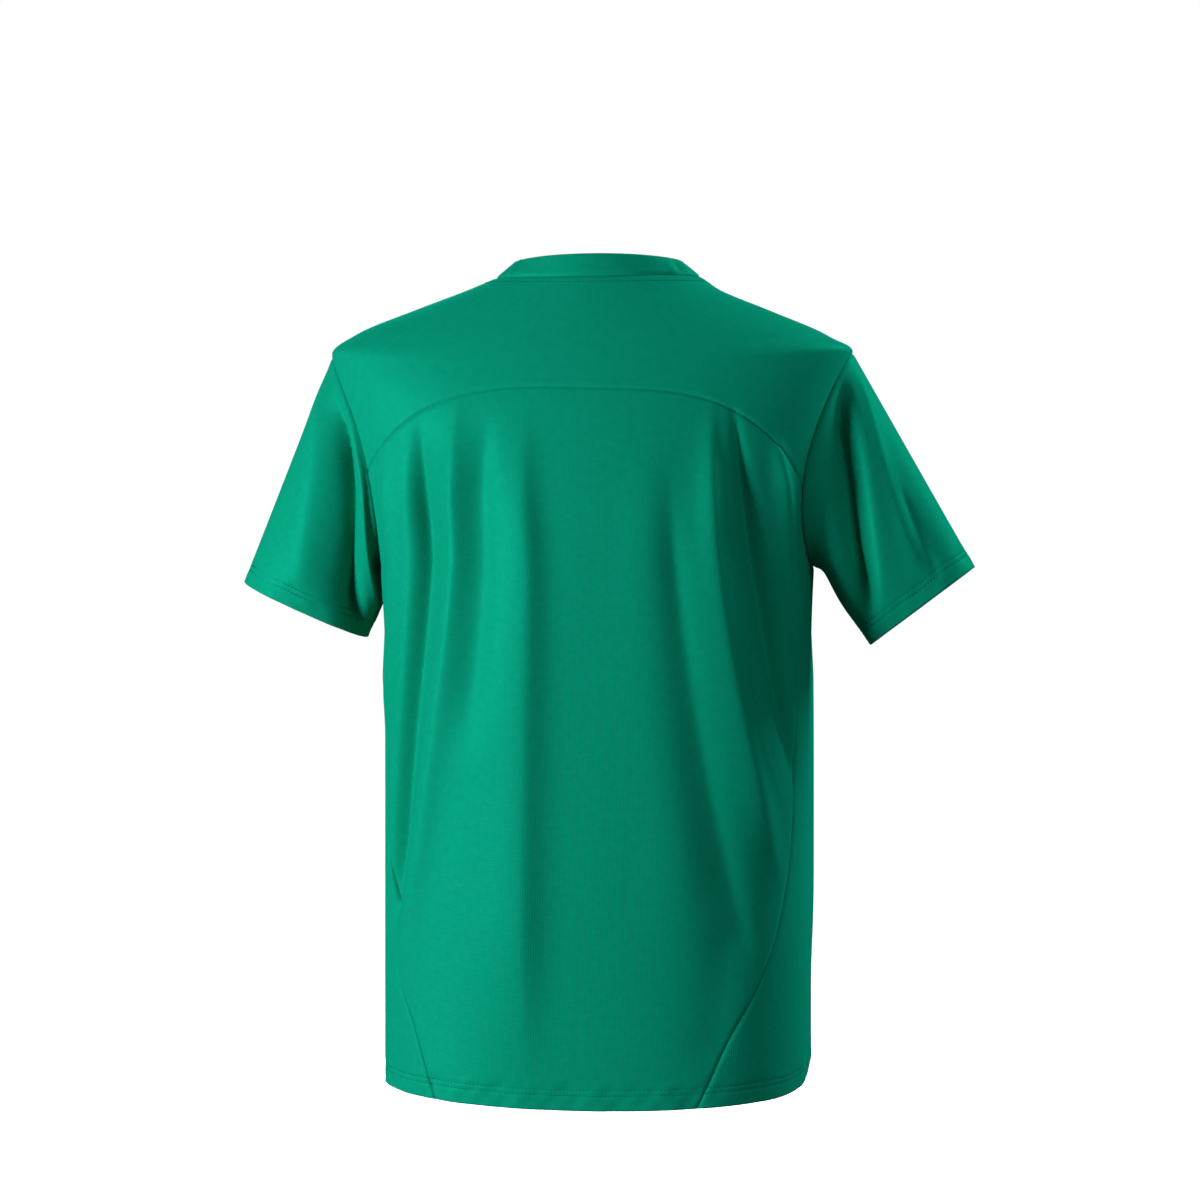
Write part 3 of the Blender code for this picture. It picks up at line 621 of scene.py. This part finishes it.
def close_sheet(name, points, uv, closed, outward_from, material, around=0.0):
    """Makes a thin closed sheet of cloth with rounded edges round a grid of points. A tube's
    cloth is as long as "around" where it meets itself."""
    rows, columns = points.shape[:2]
    normals = grid_normals(points, closed)
    flipped = (normals * (points - outward_from)).sum() < 0.0
    if flipped:
        normals = -normals
    outer = points + normals * CLOTH / 2.0
    inner = points - normals * CLOTH / 2.0
    count = rows * columns
    verts = [outer.reshape(-1, 3), inner.reshape(-1, 3)]
    uvs = [uv.reshape(-1, 2), uv.reshape(-1, 2)]
    index = np.arange(count).reshape(rows, columns)
    after = np.roll(index, -1, axis=1) if closed else index[:, 1:]
    here = index if closed else index[:, :-1]
    quads = np.stack([here[:-1], after[:-1], after[1:], here[1:]], -1).reshape(-1, 4)
    if flipped:
        quads = quads[:, ::-1]
    faces = [quads, quads[:, ::-1] + count]
    if closed:
        loops = [(index[0], points[0] - points[1]), (index[-1], points[-1] - points[-2])]
    else:
        loop = np.concatenate([index[0], index[1:, -1], index[-1, -2::-1], index[-2:0:-1, 0]])
        out = np.zeros_like(points)
        out[0] += points[0] - points[1]
        out[-1] += points[-1] - points[-2]
        out[:, 0] += points[:, 0] - points[:, 1]
        out[:, -1] += points[:, -1] - points[:, -2]
        loops = [(loop, out.reshape(-1, 3)[loop])]
    base = 2 * count
    flat_points = points.reshape(-1, 3)
    flat_uv = uv.reshape(-1, 2)
    for loop_index, (loop, out) in enumerate(loops):
        verts.append(flat_points[loop] + unit(out) * CLOTH * RIM_SWELL)
        uvs.append(flat_uv[loop])
        rim = base + np.arange(len(loop))
        following = np.roll(loop, -1)
        next_rim = np.roll(rim, -1)
        upper = np.stack([loop, rim, next_rim, following], -1)
        lower = np.stack([rim, loop + count, following + count, next_rim], -1)
        turned = flipped != (loop_index == 1)
        faces += [upper[:, ::-1], lower[:, ::-1]] if turned else [upper, lower]
        base += len(loop)
    return add_mesh(name, np.concatenate(verts), np.concatenate(faces), np.concatenate(uvs),
                    material, around)


def add_mesh(name, verts, faces, uvs, material, around=0.0):
    """Makes a smooth object from points in millimetres."""
    mesh = bpy.data.meshes.new(name)
    mesh.vertices.add(len(verts))
    mesh.vertices.foreach_set("co", (verts * MM).ravel())
    faces = np.asarray(faces)
    sides = faces.shape[1]
    mesh.loops.add(faces.size)
    mesh.loops.foreach_set("vertex_index", faces.ravel())
    mesh.polygons.add(len(faces))
    mesh.polygons.foreach_set("loop_start", np.arange(0, faces.size, sides))
    mesh.polygons.foreach_set("use_smooth", np.ones(len(faces), bool))
    mesh.update(calc_edges=True)
    if uvs is not None:
        layer = mesh.uv_layers.new(name="cloth")
        corners = uvs[faces]
        far = corners[..., 0].max(axis=1, keepdims=True) - around / 2.0
        corners[..., 0] += np.where((corners[..., 0] < far) & (around > 0.0), around, 0.0)
        layer.data.foreach_set("uv", (corners * MM).ravel())
    mesh.validate()
    mesh.materials.append(material)
    piece = bpy.data.objects.new(name, mesh)
    bpy.context.scene.collection.objects.link(piece)
    return piece


# ---------------- materials

WAVE_CYCLE = math.tau / 20.0  # a wave texture of scale 1 repeats over this length
COURSE_SHARE = 0.9
# how far the knit's height darkens the colour in its grooves: painted shade
KNIT_GROOVE_SHADE = 0.16
CLOTH_SHADER = {
    "Roughness": 0.5,
    "Specular IOR Level": 0.0,
    "Metallic": 0.08,
    "Specular Tint": (0.0, 1.0, 0.72, 1.0),
    "Sheen Weight": 0.12,
    "Sheen Roughness": 0.4,
    "Sheen Tint": (0.0, 1.0, 0.75, 1.0),
}
THREAD_SHADER = {"Roughness": 0.6, "Specular IOR Level": 0.0}
FLOOR_SHADER = {
    "Base Color": (0.85, 0.85, 0.85, 1.0),
    "Roughness": 0.9,
    "Specular IOR Level": 0.0,
    "Emission Color": (1.0, 1.0, 1.0, 1.0),
    "Emission Strength": 1.0,
}


def set_inputs(node, values):
    """Sets a node's inputs, given by name or number."""
    for name, value in values.items():
        node.inputs[name].default_value = value


def add_node(tree, kind, values=None):
    """A new node with some of its inputs set."""
    node = tree.nodes.new("ShaderNode" + kind)
    set_inputs(node, values or {})
    return node


def link(tree, start, start_name, end, end_name):
    tree.links.new(start.outputs[start_name], end.inputs[end_name])


def new_material(name, values):
    """A material with its node tree and its shader."""
    material = bpy.data.materials.new(name)
    material.use_nodes = True
    shader = material.node_tree.nodes["Principled BSDF"]
    set_inputs(shader, values)
    return material, material.node_tree, shader


def bands(tree, direction, spacing):
    """Soft bands at a spacing in millimetres."""
    wave = add_node(tree, "TexWave", {"Scale": WAVE_CYCLE / (spacing * MM)})
    wave.wave_type = "BANDS"
    wave.bands_direction = direction
    return wave


def shade(tree, factor, factor_name, dark, light, shader):
    """Colours the shader between two shades."""
    colours = add_node(tree, "Mix")
    colours.data_type = "RGBA"
    set_inputs(colours, {6: dark, 7: light})
    link(tree, factor, factor_name, colours, 0)
    link(tree, colours, 2, shader, "Base Color")


def cloth_material(name, light, dark, rib, rib_depth, mottling):
    """Satin polyester knit: ribs and courses as bumps and as painted shade in their grooves, soft
    random mottling and a green sheen.
    """
    material, tree, shader = new_material(name, CLOTH_SHADER)
    place = add_node(tree, "UVMap")
    place.uv_map = "cloth"
    wales = bands(tree, "X", rib)
    courses = bands(tree, "Y", rib * COURSE_SHARE)
    knit = add_node(tree, "Math")
    knit.operation = "ADD"
    noise = add_node(tree, "TexNoise", {"Scale": mottling, "Detail": 6.0, "Roughness": 0.62})
    # the colour is darker in the knit's grooves (painted shade) plus random noise mottling
    mottling_and_groove_shade = add_node(tree, "Math", {1: KNIT_GROOVE_SHADE})
    mottling_and_groove_shade.operation = "MULTIPLY_ADD"
    bump = add_node(tree, "Bump", {"Strength": 1.0, "Distance": rib_depth * MM})
    for node in (wales, courses, noise):
        link(tree, place, "UV", node, "Vector")
    link(tree, wales, "Fac", knit, 0)
    link(tree, courses, "Fac", knit, 1)
    link(tree, knit, 0, mottling_and_groove_shade, 0)
    link(tree, noise, "Fac", mottling_and_groove_shade, 2)
    shade(tree, mottling_and_groove_shade, 0, dark, light, shader)
    link(tree, knit, 0, bump, "Height")
    link(tree, bump, "Normal", shader, "Normal")
    return material


def thread_material():
    """Polyester thread, twisted, a little darker than the cloth."""
    material, tree, shader = new_material("thread", THREAD_SHADER)
    place = add_node(tree, "TexCoord")
    noise = add_node(tree, "TexNoise", {"Scale": 900.0})
    link(tree, place, "Object", noise, "Vector")
    shade(tree, noise, "Fac", (0.001, 0.105, 0.062, 1.0), (0.002, 0.17, 0.105, 1.0), shader)
    return material


BODY_CLOTH = cloth_material(
    "body_knit", light=(0.002, 0.262, 0.160, 1.0), dark=(0.001, 0.196, 0.116, 1.0),
    rib=1.9, rib_depth=0.05, mottling=160.0)
YOKE_CLOTH = cloth_material(
    "yoke_knit", light=(0.002, 0.262, 0.160, 1.0), dark=(0.001, 0.200, 0.120, 1.0),
    rib=1.4, rib_depth=0.03, mottling=120.0)
BAND_CLOTH = cloth_material(
    "band_knit", light=(0.002, 0.256, 0.156, 1.0), dark=(0.001, 0.190, 0.112, 1.0),
    rib=1.5, rib_depth=0.07, mottling=160.0)
THREAD = thread_material()


# ---------------- body panels

def seam_place(share, top):
    """Angle and level on a side seam, from the hem up to its top."""
    level = HEM_LEVEL + (top - HEM_LEVEL) * share
    return SEAM.read("angle", level), level


# each edge of a panel: the axis that leads to it, and whether it ends that axis
PANEL_EDGES = {"first": (1, False), "last": (1, True), "upper": (0, True), "lower": (0, False)}


def body_panel(name, lower, upper, first, last, u, seams, hem, material):
    """One body panel. seams names the edges that are sewn."""
    places = patch(lower, upper, first, last, u)
    angle, level = places[..., 0], places[..., 1]
    points = body_point(angle, level)
    normals = facing(grid_normals(points, False), points * WITHOUT_HEIGHT)
    lift = np.full(angle.shape, SHEET_OFFSET)
    for edge_name in seams:
        axis, reverse = PANEL_EDGES[edge_name]
        lift += seam_dip(edge_distance(points, axis, reverse))
    above = level - HEM_LEVEL
    if hem:
        lift += ripples(angle * BODY_MM_PER_DEGREE, above, BODY_RIPPLE_WEIGHT)
        lift += stitch_groove(above)
    points = points + normals * lift[..., None]
    uv = np.stack([angle * BODY_MM_PER_DEGREE, level], -1)
    if hem:
        points, uv = with_turn_up(points, normals, uv, above)
    return close_sheet(name, points, uv, False, points * ONLY_HEIGHT, material)


HEM_STEPS = tuple(np.arange(HEM_CELL, HEM_DEPTH + HEM_FINE_ABOVE, HEM_CELL))
BACK_SEAM_TOP = armhole_place(BACK_SEAM_TURN)[1]
FRONT_SEAM_TOP = armhole_place(FRONT_SEAM_TURN)[1]


def armhole_between(start, end):
    """A stretch of the armhole between two of its turns."""
    return lambda share: armhole_place(start + (end - start) * share)


def shoulder_place(share):
    return SHOULDER_SEAM_ANGLE + 0.0 * share, ARMHOLE_TOP + (NECK_LEVEL - ARMHOLE_TOP) * share


def back_seam_place(share):
    return seam_place(share, BACK_SEAM_TOP)


def front_seam_place(share):
    angle, level = seam_place(share, FRONT_SEAM_TOP)
    return 180.0 - angle, level


def edge_shares(parts, cell, seam_start, seam_end, hem):
    """Shares for an edge made of several stretches."""
    result = []
    for index, place_at in enumerate(parts):
        length = run_length(place_at)
        steps = HEM_STEPS if hem and index == 0 else ()
        result.append(shares(length, cell, seam_start and index == 0,
                             seam_end and index == len(parts) - 1, steps))
    return result


def panel_shares(start, end, cell, level):
    """Shares across a panel, from its width between two angles at one level."""
    length = run_length(lambda s: (start + (end - start) * s, level + 0.0 * s))
    return shares(length, cell, True, True)


def back_edges(parts_of, seam_start, hem):
    """The right and left edge of a back piece. parts_of gives the stretches of one side's edge."""
    where = edge_shares(parts_of(+1), CELL, seam_start, True, hem)
    return flip(joined(zip(parts_of(-1), where))), joined(zip(parts_of(+1), where))


def yoke_run(u):
    """The yoke seam, from the wearer's right to left."""
    right = armhole_place(YOKE_TURN[-1])[0]
    left = armhole_place(YOKE_TURN[+1])[0]
    angles = -right + (left + right) * u
    return run_at(angles, yoke_level(angles))


# back panel
right_edge, left_edge = back_edges(
    lambda side: [back_seam_place, armhole_between(BACK_SEAM_TURN, YOKE_TURN[side])],
    False, True)
hem_half = left_edge[0, 0]
u = panel_shares(start=-66.0, end=66.0, cell=CELL, level=-300.0)
hem_run = run_at(-hem_half + 2.0 * hem_half * u, HEM_LEVEL)
back_panel = body_panel("back_panel_cloth", hem_run, yoke_run(u), right_edge, left_edge, u,
                        ("first", "last", "upper"), True, BODY_CLOTH)

# back yoke
right_edge, left_edge = back_edges(
    lambda side: [armhole_between(YOKE_TURN[side], 0.0), shoulder_place], True, False)
u = panel_shares(start=-SHOULDER_SEAM_ANGLE, end=SHOULDER_SEAM_ANGLE, cell=CELL, level=-90.0)
neck_run = run_at(SHOULDER_SEAM_ANGLE * (2.0 * u - 1.0), NECK_LEVEL)
back_yoke = body_panel("back_yoke_cloth", yoke_run(u), neck_run, right_edge, left_edge, u,
                       ("first", "last", "upper", "lower"), False, YOKE_CLOTH)

# front panel
parts = [front_seam_place, armhole_between(FRONT_SEAM_TURN, 360.0), shoulder_place]
where = edge_shares(parts, FRONT_CELL, False, True, True)
left_edge = joined(zip(parts, where))
right_edge = left_edge * np.array([-1.0, 1.0]) + np.array([360.0, 0.0])
u = panel_shares(start=110.0, end=250.0, cell=FRONT_CELL, level=-300.0)
start = left_edge[0, 0]
end = right_edge[0, 0]
hem_run = run_at(start + (end - start) * u, HEM_LEVEL)
start = SHOULDER_SEAM_ANGLE
end = 360.0 - SHOULDER_SEAM_ANGLE
neck_run = run_at(start + (end - start) * u, NECK_LEVEL)
front_panel = body_panel("front_panel_cloth", hem_run, neck_run, left_edge, right_edge, u,
                         ("first", "last", "upper"), True, BODY_CLOTH)

# side panels
side_panels = {}
back_shares = shares(run_length(back_seam_place), CELL, False, True, HEM_STEPS)
u = panel_shares(start=70.0, end=110.0, cell=CELL, level=-400.0)
under_run = run_at(*armhole_between(BACK_SEAM_TURN, FRONT_SEAM_TURN)(u))
first_edge = run_at(*back_seam_place(back_shares))
last_edge = run_at(*front_seam_place(back_shares))
hem_angles = first_edge[0, 0] + (last_edge[0, 0] - first_edge[0, 0]) * u
hem_run = run_at(hem_angles, HEM_LEVEL)
for side, word in SIDES:
    mirror = np.array([side, 1.0])
    side_panels[side] = body_panel(
        "side_panel_" + word + "_cloth", hem_run * mirror, under_run * mirror,
        first_edge * mirror, last_edge * mirror, u, ("first", "last", "upper"), True, BODY_CLOTH)

# sleeves
def sleeve_grid(side):
    """Places and points of one sleeve, from its opening up to the armhole."""
    turns = 180.0 + np.arange(SLEEVE_COLUMNS) * 360.0 / SLEEVE_COLUMNS
    straight = sleeve_point(side, turns, 1.0) - sleeve_point(side, turns, 0.0)
    lengths = np.linalg.norm(straight, axis=-1)
    mean = lengths.mean()
    near_hem = np.array((0.0,) + HEM_STEPS)
    hem_top = near_hem[-1]
    rest = shares(mean - hem_top, CELL, False, True) * (mean - hem_top)
    from_end = np.concatenate([near_hem, hem_top + rest[1:]])
    # the hem keeps its true depth all round, the cloth above it is spread evenly
    rest_share = np.clip((from_end - hem_top) / (mean - hem_top), 0.0, 1.0)
    distance = np.where(from_end[:, None] <= hem_top, from_end[:, None],
                        hem_top + rest_share[:, None] * (lengths[None] - hem_top))
    place = 1.0 - distance / lengths[None]
    return turns, place, distance


def make_sleeve(side, name):
    """One sleeve with its turned-up hem."""
    turns, place, distance = sleeve_grid(side)
    turn = np.broadcast_to(turns[None], place.shape)
    points = sleeve_point(side, turn, place)
    normals = facing(grid_normals(points, True), points - points.mean(axis=1, keepdims=True))
    lift = (SHEET_OFFSET
            + ripples(turn * SLEEVE_RIPPLE_MM_PER_DEGREE, distance, SLEEVE_RIPPLE_WEIGHT)
            + stitch_groove(distance) + seam_dip(edge_distance(points, 0, True)))
    points = points + normals * lift[..., None]
    uv = np.stack([turn * SLEEVE_MM_PER_DEGREE, -distance], -1)
    points, uv = with_turn_up(points, normals, uv, distance)
    centre = points.mean(axis=1, keepdims=True)
    return close_sheet(name, points, uv, True, centre, BODY_CLOTH,
                       around=360.0 * SLEEVE_MM_PER_DEGREE)


sleeves = {side: make_sleeve(side, "sleeve_" + word + "_cloth") for side, word in SIDES}

# collar band, folded over at its top
COLLAR_COLUMNS = 200
COLLAR_JOIN_ANGLE = 54.0
COLLAR_JOIN_STEPS = (0.4, 0.8, 1.2, 2.7)
COLLAR_JOIN_SWELL = 0.7
COLLAR_JOIN_SWELL_WIDTH = 6.0
COLLAR_MM_PER_DEGREE = 1.3
Crumple = namedtuple("Crumple", "angle share spread reach height")
COLLAR_CRUMPLES = (
    Crumple(-52.0, 0.35, 3.0, 0.35, 1.0),
    Crumple(-60.0, 0.55, 2.6, 0.45, -0.9),
    Crumple(-68.0, 0.40, 3.5, 0.40, 0.9),
    Crumple(-30.0, 0.80, 9.0, 0.40, 0.4),
    Crumple(24.0, 0.30, 12.0, 0.50, -0.35),
)
collar_turns = np.arange(COLLAR_COLUMNS + 1) * 360.0 / COLLAR_COLUMNS
beside_join = np.array(COLLAR_JOIN_STEPS)
collar_turns = np.unique(np.concatenate([collar_turns[:-1], beside_join, 360.0 - beside_join]))
collar_angles = COLLAR_JOIN_ANGLE + collar_turns
wall_shares = shares(COLLAR_GRID_HEIGHT, COLLAR_GRID_CELL, True, False)


def collar_grid():
    """Points of the folded band: up its outside, over its top and down its inside."""
    column = collar_angles[None]
    mid = collar_point(column, wall_shares[:, None])
    normals = facing(grid_normals(mid, True), mid - mid.mean(axis=1, keepdims=True))
    from_join = np.minimum(collar_turns, 360.0 - collar_turns) * COLLAR_MM_PER_DEGREE
    swell = COLLAR_JOIN_SWELL * np.exp(
        -(collar_turns * COLLAR_MM_PER_DEGREE / COLLAR_JOIN_SWELL_WIDTH) ** 2)
    crumple = sum(
        fold.height * np.exp(-(turn_difference(column, fold.angle) / fold.spread) ** 2
                             - ((wall_shares[:, None] - fold.share) / fold.reach) ** 2)
        for fold in COLLAR_CRUMPLES)
    lift = (seam_dip(wall_shares * COLLAR_GRID_HEIGHT)[:, None] + seam_dip(from_join)[None]
            + swell[None] + crumple)
    outer = mid + normals * (COLLAR_WALL + lift[..., None])
    inner = mid - normals * COLLAR_WALL
    up = unit(mid[-1] - mid[-2])
    rows = list(outer)
    for turn in (30.0, 60.0, 90.0, 120.0, 150.0):
        rows.append(mid[-1] + normals[-1] * COLLAR_WALL * cos_deg(turn)
                    + up * COLLAR_WALL * sin_deg(turn))
    rows += list(inner[::-1])
    return np.array(rows), mid


collar_points, collar_mid = collar_grid()
row_run = edge_distance(collar_points, 0, False).mean(axis=1)
collar_uv = run_at(collar_angles[None] * COLLAR_MM_PER_DEGREE, row_run[:, None])
collar_centre = collar_mid.mean(axis=1).mean(axis=0)
collar_band = close_sheet("collar_band_cloth", collar_points, collar_uv, True,
                          np.broadcast_to(collar_centre, collar_points.shape), BAND_CLOTH,
                          around=360.0 * COLLAR_MM_PER_DEGREE)

# ---------------- stitching


def stitch_shape():
    """One stitch: a small long bead, along X with Z up."""
    verts = []
    for ring in STITCH_RINGS:
        for corner in range(STITCH_SIDES):
            turn = corner * math.tau / STITCH_SIDES
            verts.append((ring.along * STITCH_LENGTH,
                          ring.width * math.cos(turn) * STITCH_WIDTH / 2.0,
                          ring.width * math.sin(turn) * STITCH_HEIGHT / 2.0))
    faces = []
    for ring_index in range(len(STITCH_RINGS) - 1):
        for corner in range(STITCH_SIDES):
            here = ring_index * STITCH_SIDES + corner
            after = ring_index * STITCH_SIDES + (corner + 1) % STITCH_SIDES
            faces.append((here, after, after + STITCH_SIDES, here + STITCH_SIDES))
    return np.array(verts), np.array(faces)


def stitch_row(point_at, count):
    """Verts and faces of a row of stitches. point_at gives points and normals at shares."""
    verts, faces = stitch_shape()
    middle = (np.arange(count) + 0.5) / count
    points, normals = point_at(middle)
    near = 0.2 / count
    ahead = point_at(middle + near)[0]
    behind = point_at(middle - near)[0]
    along = unit(ahead - behind)
    side = unit(np.cross(normals, along))
    normal = np.cross(along, side)
    local = (verts[None, :, 0, None] * along[:, None] + verts[None, :, 1, None] * side[:, None]
             + verts[None, :, 2, None] * normal[:, None])
    all_verts = (points[:, None] + local).reshape(-1, 3)
    shift = np.arange(count)[:, None, None] * len(verts)
    return all_verts, (faces[None] + shift).reshape(-1, 4)


def surface_normals(point_at, turn, place, turn_step, place_step, outward):
    """Normals of a form at places, by small steps."""
    across_step = point_at(turn + turn_step, place) - point_at(turn - turn_step, place)
    along_step = point_at(turn, place + place_step) - point_at(turn, place - place_step)
    return facing(unit(np.cross(across_step, along_step)), outward)


def hem_stitches(above):
    """Points for a stitch row round the body's hem."""
    def point_at(share):
        angle = share * 360.0
        level = HEM_LEVEL + above
        base = body_point(angle, level)
        normals = surface_normals(body_point, angle, level, ANGLE_STEP, LEVEL_STEP,
                                  base * WITHOUT_HEIGHT)
        # the front panel's angles go on past 180, so the ripples are read there as it reads them
        run = turn_difference(angle, 0.0)
        run = np.where(run < HEM_RUN_START, run + 360.0, run) * BODY_MM_PER_DEGREE
        lift = (SHEET_OFFSET + CLOTH / 2.0 + ripples(run, above, BODY_RIPPLE_WEIGHT)
                + stitch_groove(above))
        return base + normals * (lift + STITCH_LIFT)[:, None], normals
    return point_at


def sleeve_stitches(side, above):
    """Points for a stitch row round a sleeve's hem."""
    def point_at(share):
        turn = share * 360.0
        straight = sleeve_point(side, turn, 1.0) - sleeve_point(side, turn, 0.0)
        place = 1.0 - above / np.linalg.norm(straight, axis=-1)
        base = sleeve_point(side, turn, place)
        normals = surface_normals(partial(sleeve_point, side), turn, place,
                                  SLEEVE_TURN_STEP, SLEEVE_PLACE_STEP, base - base.mean(axis=0))
        run = turn * SLEEVE_RIPPLE_MM_PER_DEGREE
        lift = (SHEET_OFFSET + CLOTH / 2.0 + ripples(run, above, SLEEVE_RIPPLE_WEIGHT)
                + stitch_groove(above))
        return base + normals * (lift + STITCH_LIFT)[:, None], normals
    return point_at


def neck_stitches():
    """Points for the row of stitches below the collar seam."""
    def point_at(share):
        angle = share * 360.0
        base = body_point(angle, COLLAR_STITCH_LEVEL)
        normals = surface_normals(body_point, angle, COLLAR_STITCH_LEVEL, ANGLE_STEP, LEVEL_STEP,
                                  base * WITHOUT_HEIGHT + NECK_OUTWARD)
        return base + normals * (SHEET_OFFSET + CLOTH / 2.0 + NECK_STITCH_LIFT), normals
    return point_at


def perimeter(point_at):
    """Length once round a row of stitches."""
    points = point_at(np.linspace(0.0, 1.0, PERIMETER_SAMPLES))[0]
    return np.linalg.norm(np.diff(points, axis=0), axis=1).sum()


def add_stitches(name, rows):
    """Joins rows of stitches into one mesh."""
    verts = []
    faces = []
    base = 0
    for point_at in rows:
        count = int(perimeter(point_at) / STITCH_PITCH)
        row_verts, row_faces = stitch_row(point_at, count)
        verts.append(row_verts)
        faces.append(row_faces + base)
        base += len(row_verts)
    return add_mesh(name, np.concatenate(verts), np.concatenate(faces), None, THREAD)


needle_rows = (STITCH_LINE, STITCH_LINE - TWIN_NEEDLE_GAP)
hem_thread = add_stitches("hem_stitching", [hem_stitches(above) for above in needle_rows])
sleeve_thread = {
    side: add_stitches("sleeve_" + word + "_stitching",
                       [sleeve_stitches(side, above) for above in needle_rows])
    for side, word in SIDES
}
neck_thread = add_stitches("collar_stitching", [neck_stitches()])

# ---------------- the pieces, each hung from the root in place of its node in the part

# each sheet, the node it replaces, its slot, its flat size and area in metres, and its stitching
PIECES = (
    (back_panel, "back_panel", "jersey_cloth", (0.400, 0.620), 0.225, [hem_thread]),
    (back_yoke, "back_yoke", "yoke_cloth", (0.500, 0.220), 0.075, [neck_thread]),
    (front_panel, "front_panel", "jersey_cloth", (0.560, 0.720), 0.270, []),
    (side_panels[+1], "side_panel_left", "jersey_cloth", (0.270, 0.480), 0.065, []),
    (side_panels[-1], "side_panel_right", "jersey_cloth", (0.270, 0.480), 0.065, []),
    (sleeves[+1], "sleeve_left", "jersey_cloth", (0.440, 0.260), 0.075, [sleeve_thread[+1]]),
    (sleeves[-1], "sleeve_right", "jersey_cloth", (0.440, 0.260), 0.075, [sleeve_thread[-1]]),
    (collar_band, "collar_band", "band_cloth", (0.450, 0.042), 0.018, []),
)
for piece, node, slot_name, flat, area, extras in PIECES:
    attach(piece, "root")
    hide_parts(node)
    for extra in extras:
        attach(extra, "root")

# ---------------- floor, light and camera


TARGET = (0.0, 0.0, -0.3)
FLOOR_LEVEL = -1.0
FLOOR_REACH = 5.0
WORLD_LIGHT = 0.09
WHITE = (1.0, 1.0, 1.0, 1.0)
# places and sizes in metres, powers in watts
SoftBox = namedtuple("SoftBox", "name place width height power")
SOFT_BOXES = (
    SoftBox("key", (2.09, 1.55, -0.05), 0.7, 1.3, 95.0),
    SoftBox("back_fill", (-1.9, 1.7, 0.2), 1.0, 1.4, 13.0),
    SoftBox("rim", (-1.9, -1.1, 1.6), 0.6, 1.4, 85.0),
    SoftBox("front_fill", (0.6, -2.4, 0.5), 1.6, 1.6, 36.0),
)


def area_light(box):
    """A soft box that points at the jersey."""
    data = bpy.data.lights.new(box.name, "AREA")
    data.shape = "RECTANGLE"
    data.size = box.width
    data.size_y = box.height
    data.energy = box.power
    light = bpy.data.objects.new(box.name, data)
    light.location = box.place
    bpy.context.scene.collection.objects.link(light)
    direction = np.array(TARGET) - np.array(light.location)
    across_floor = math.hypot(direction[0], direction[1])
    light.rotation_euler = (
        math.pi / 2.0 + math.atan2(direction[2], across_floor), 0.0,
        math.atan2(direction[1], direction[0]) - math.pi / 2.0)


def pale_floor():
    """A wide pale floor, bright enough to melt into the backdrop."""
    mesh = bpy.data.meshes.new("floor")
    reach = FLOOR_REACH
    mesh.from_pydata([(-reach, -reach, 0), (reach, -reach, 0), (reach, reach, 0), (-reach, reach, 0)],
                     [], [(0, 1, 2, 3)])
    floor = bpy.data.objects.new("floor", mesh)
    floor.location = (0.0, 0.0, FLOOR_LEVEL)
    bpy.context.scene.collection.objects.link(floor)
    material, _, _ = new_material("pale_floor", FLOOR_SHADER)
    mesh.materials.append(material)
    floor.visible_diffuse = False
    floor.visible_glossy = False


def studio_world():
    """A white backdrop that gives only a little light."""
    world = bpy.data.worlds.new("studio")
    bpy.context.scene.world = world
    world.use_nodes = True
    tree = world.node_tree
    tree.nodes.clear()
    seen = add_node(tree, "Background", {"Color": WHITE})
    lighting = add_node(tree, "Background", {"Color": WHITE, "Strength": WORLD_LIGHT})
    path = add_node(tree, "LightPath")
    mix = add_node(tree, "MixShader")
    out = add_node(tree, "OutputWorld")
    link(tree, path, "Is Camera Ray", mix, 0)
    link(tree, lighting, 0, mix, 1)
    link(tree, seen, 0, mix, 2)
    link(tree, mix, 0, out, "Surface")


pale_floor()
for soft_box in SOFT_BOXES:
    area_light(soft_box)
studio_world()
bpy.context.scene.view_settings.view_transform = "Standard"

camera_data = bpy.data.cameras.new("camera")
camera_data.lens = CAMERA_LENS
camera_data.sensor_width = CAMERA_SENSOR
camera_data.shift_x = CAMERA_SHIFT_X
camera = bpy.data.objects.new("camera", camera_data)
azimuth = math.radians(CAMERA_AZIMUTH)
camera.location = (CAMERA_DISTANCE * math.sin(azimuth), -CAMERA_DISTANCE * math.cos(azimuth),
                   CAMERA_HEIGHT)
camera.rotation_euler = (math.pi / 2.0, 0.0, azimuth)
bpy.context.scene.collection.objects.link(camera)
bpy.context.scene.camera = camera
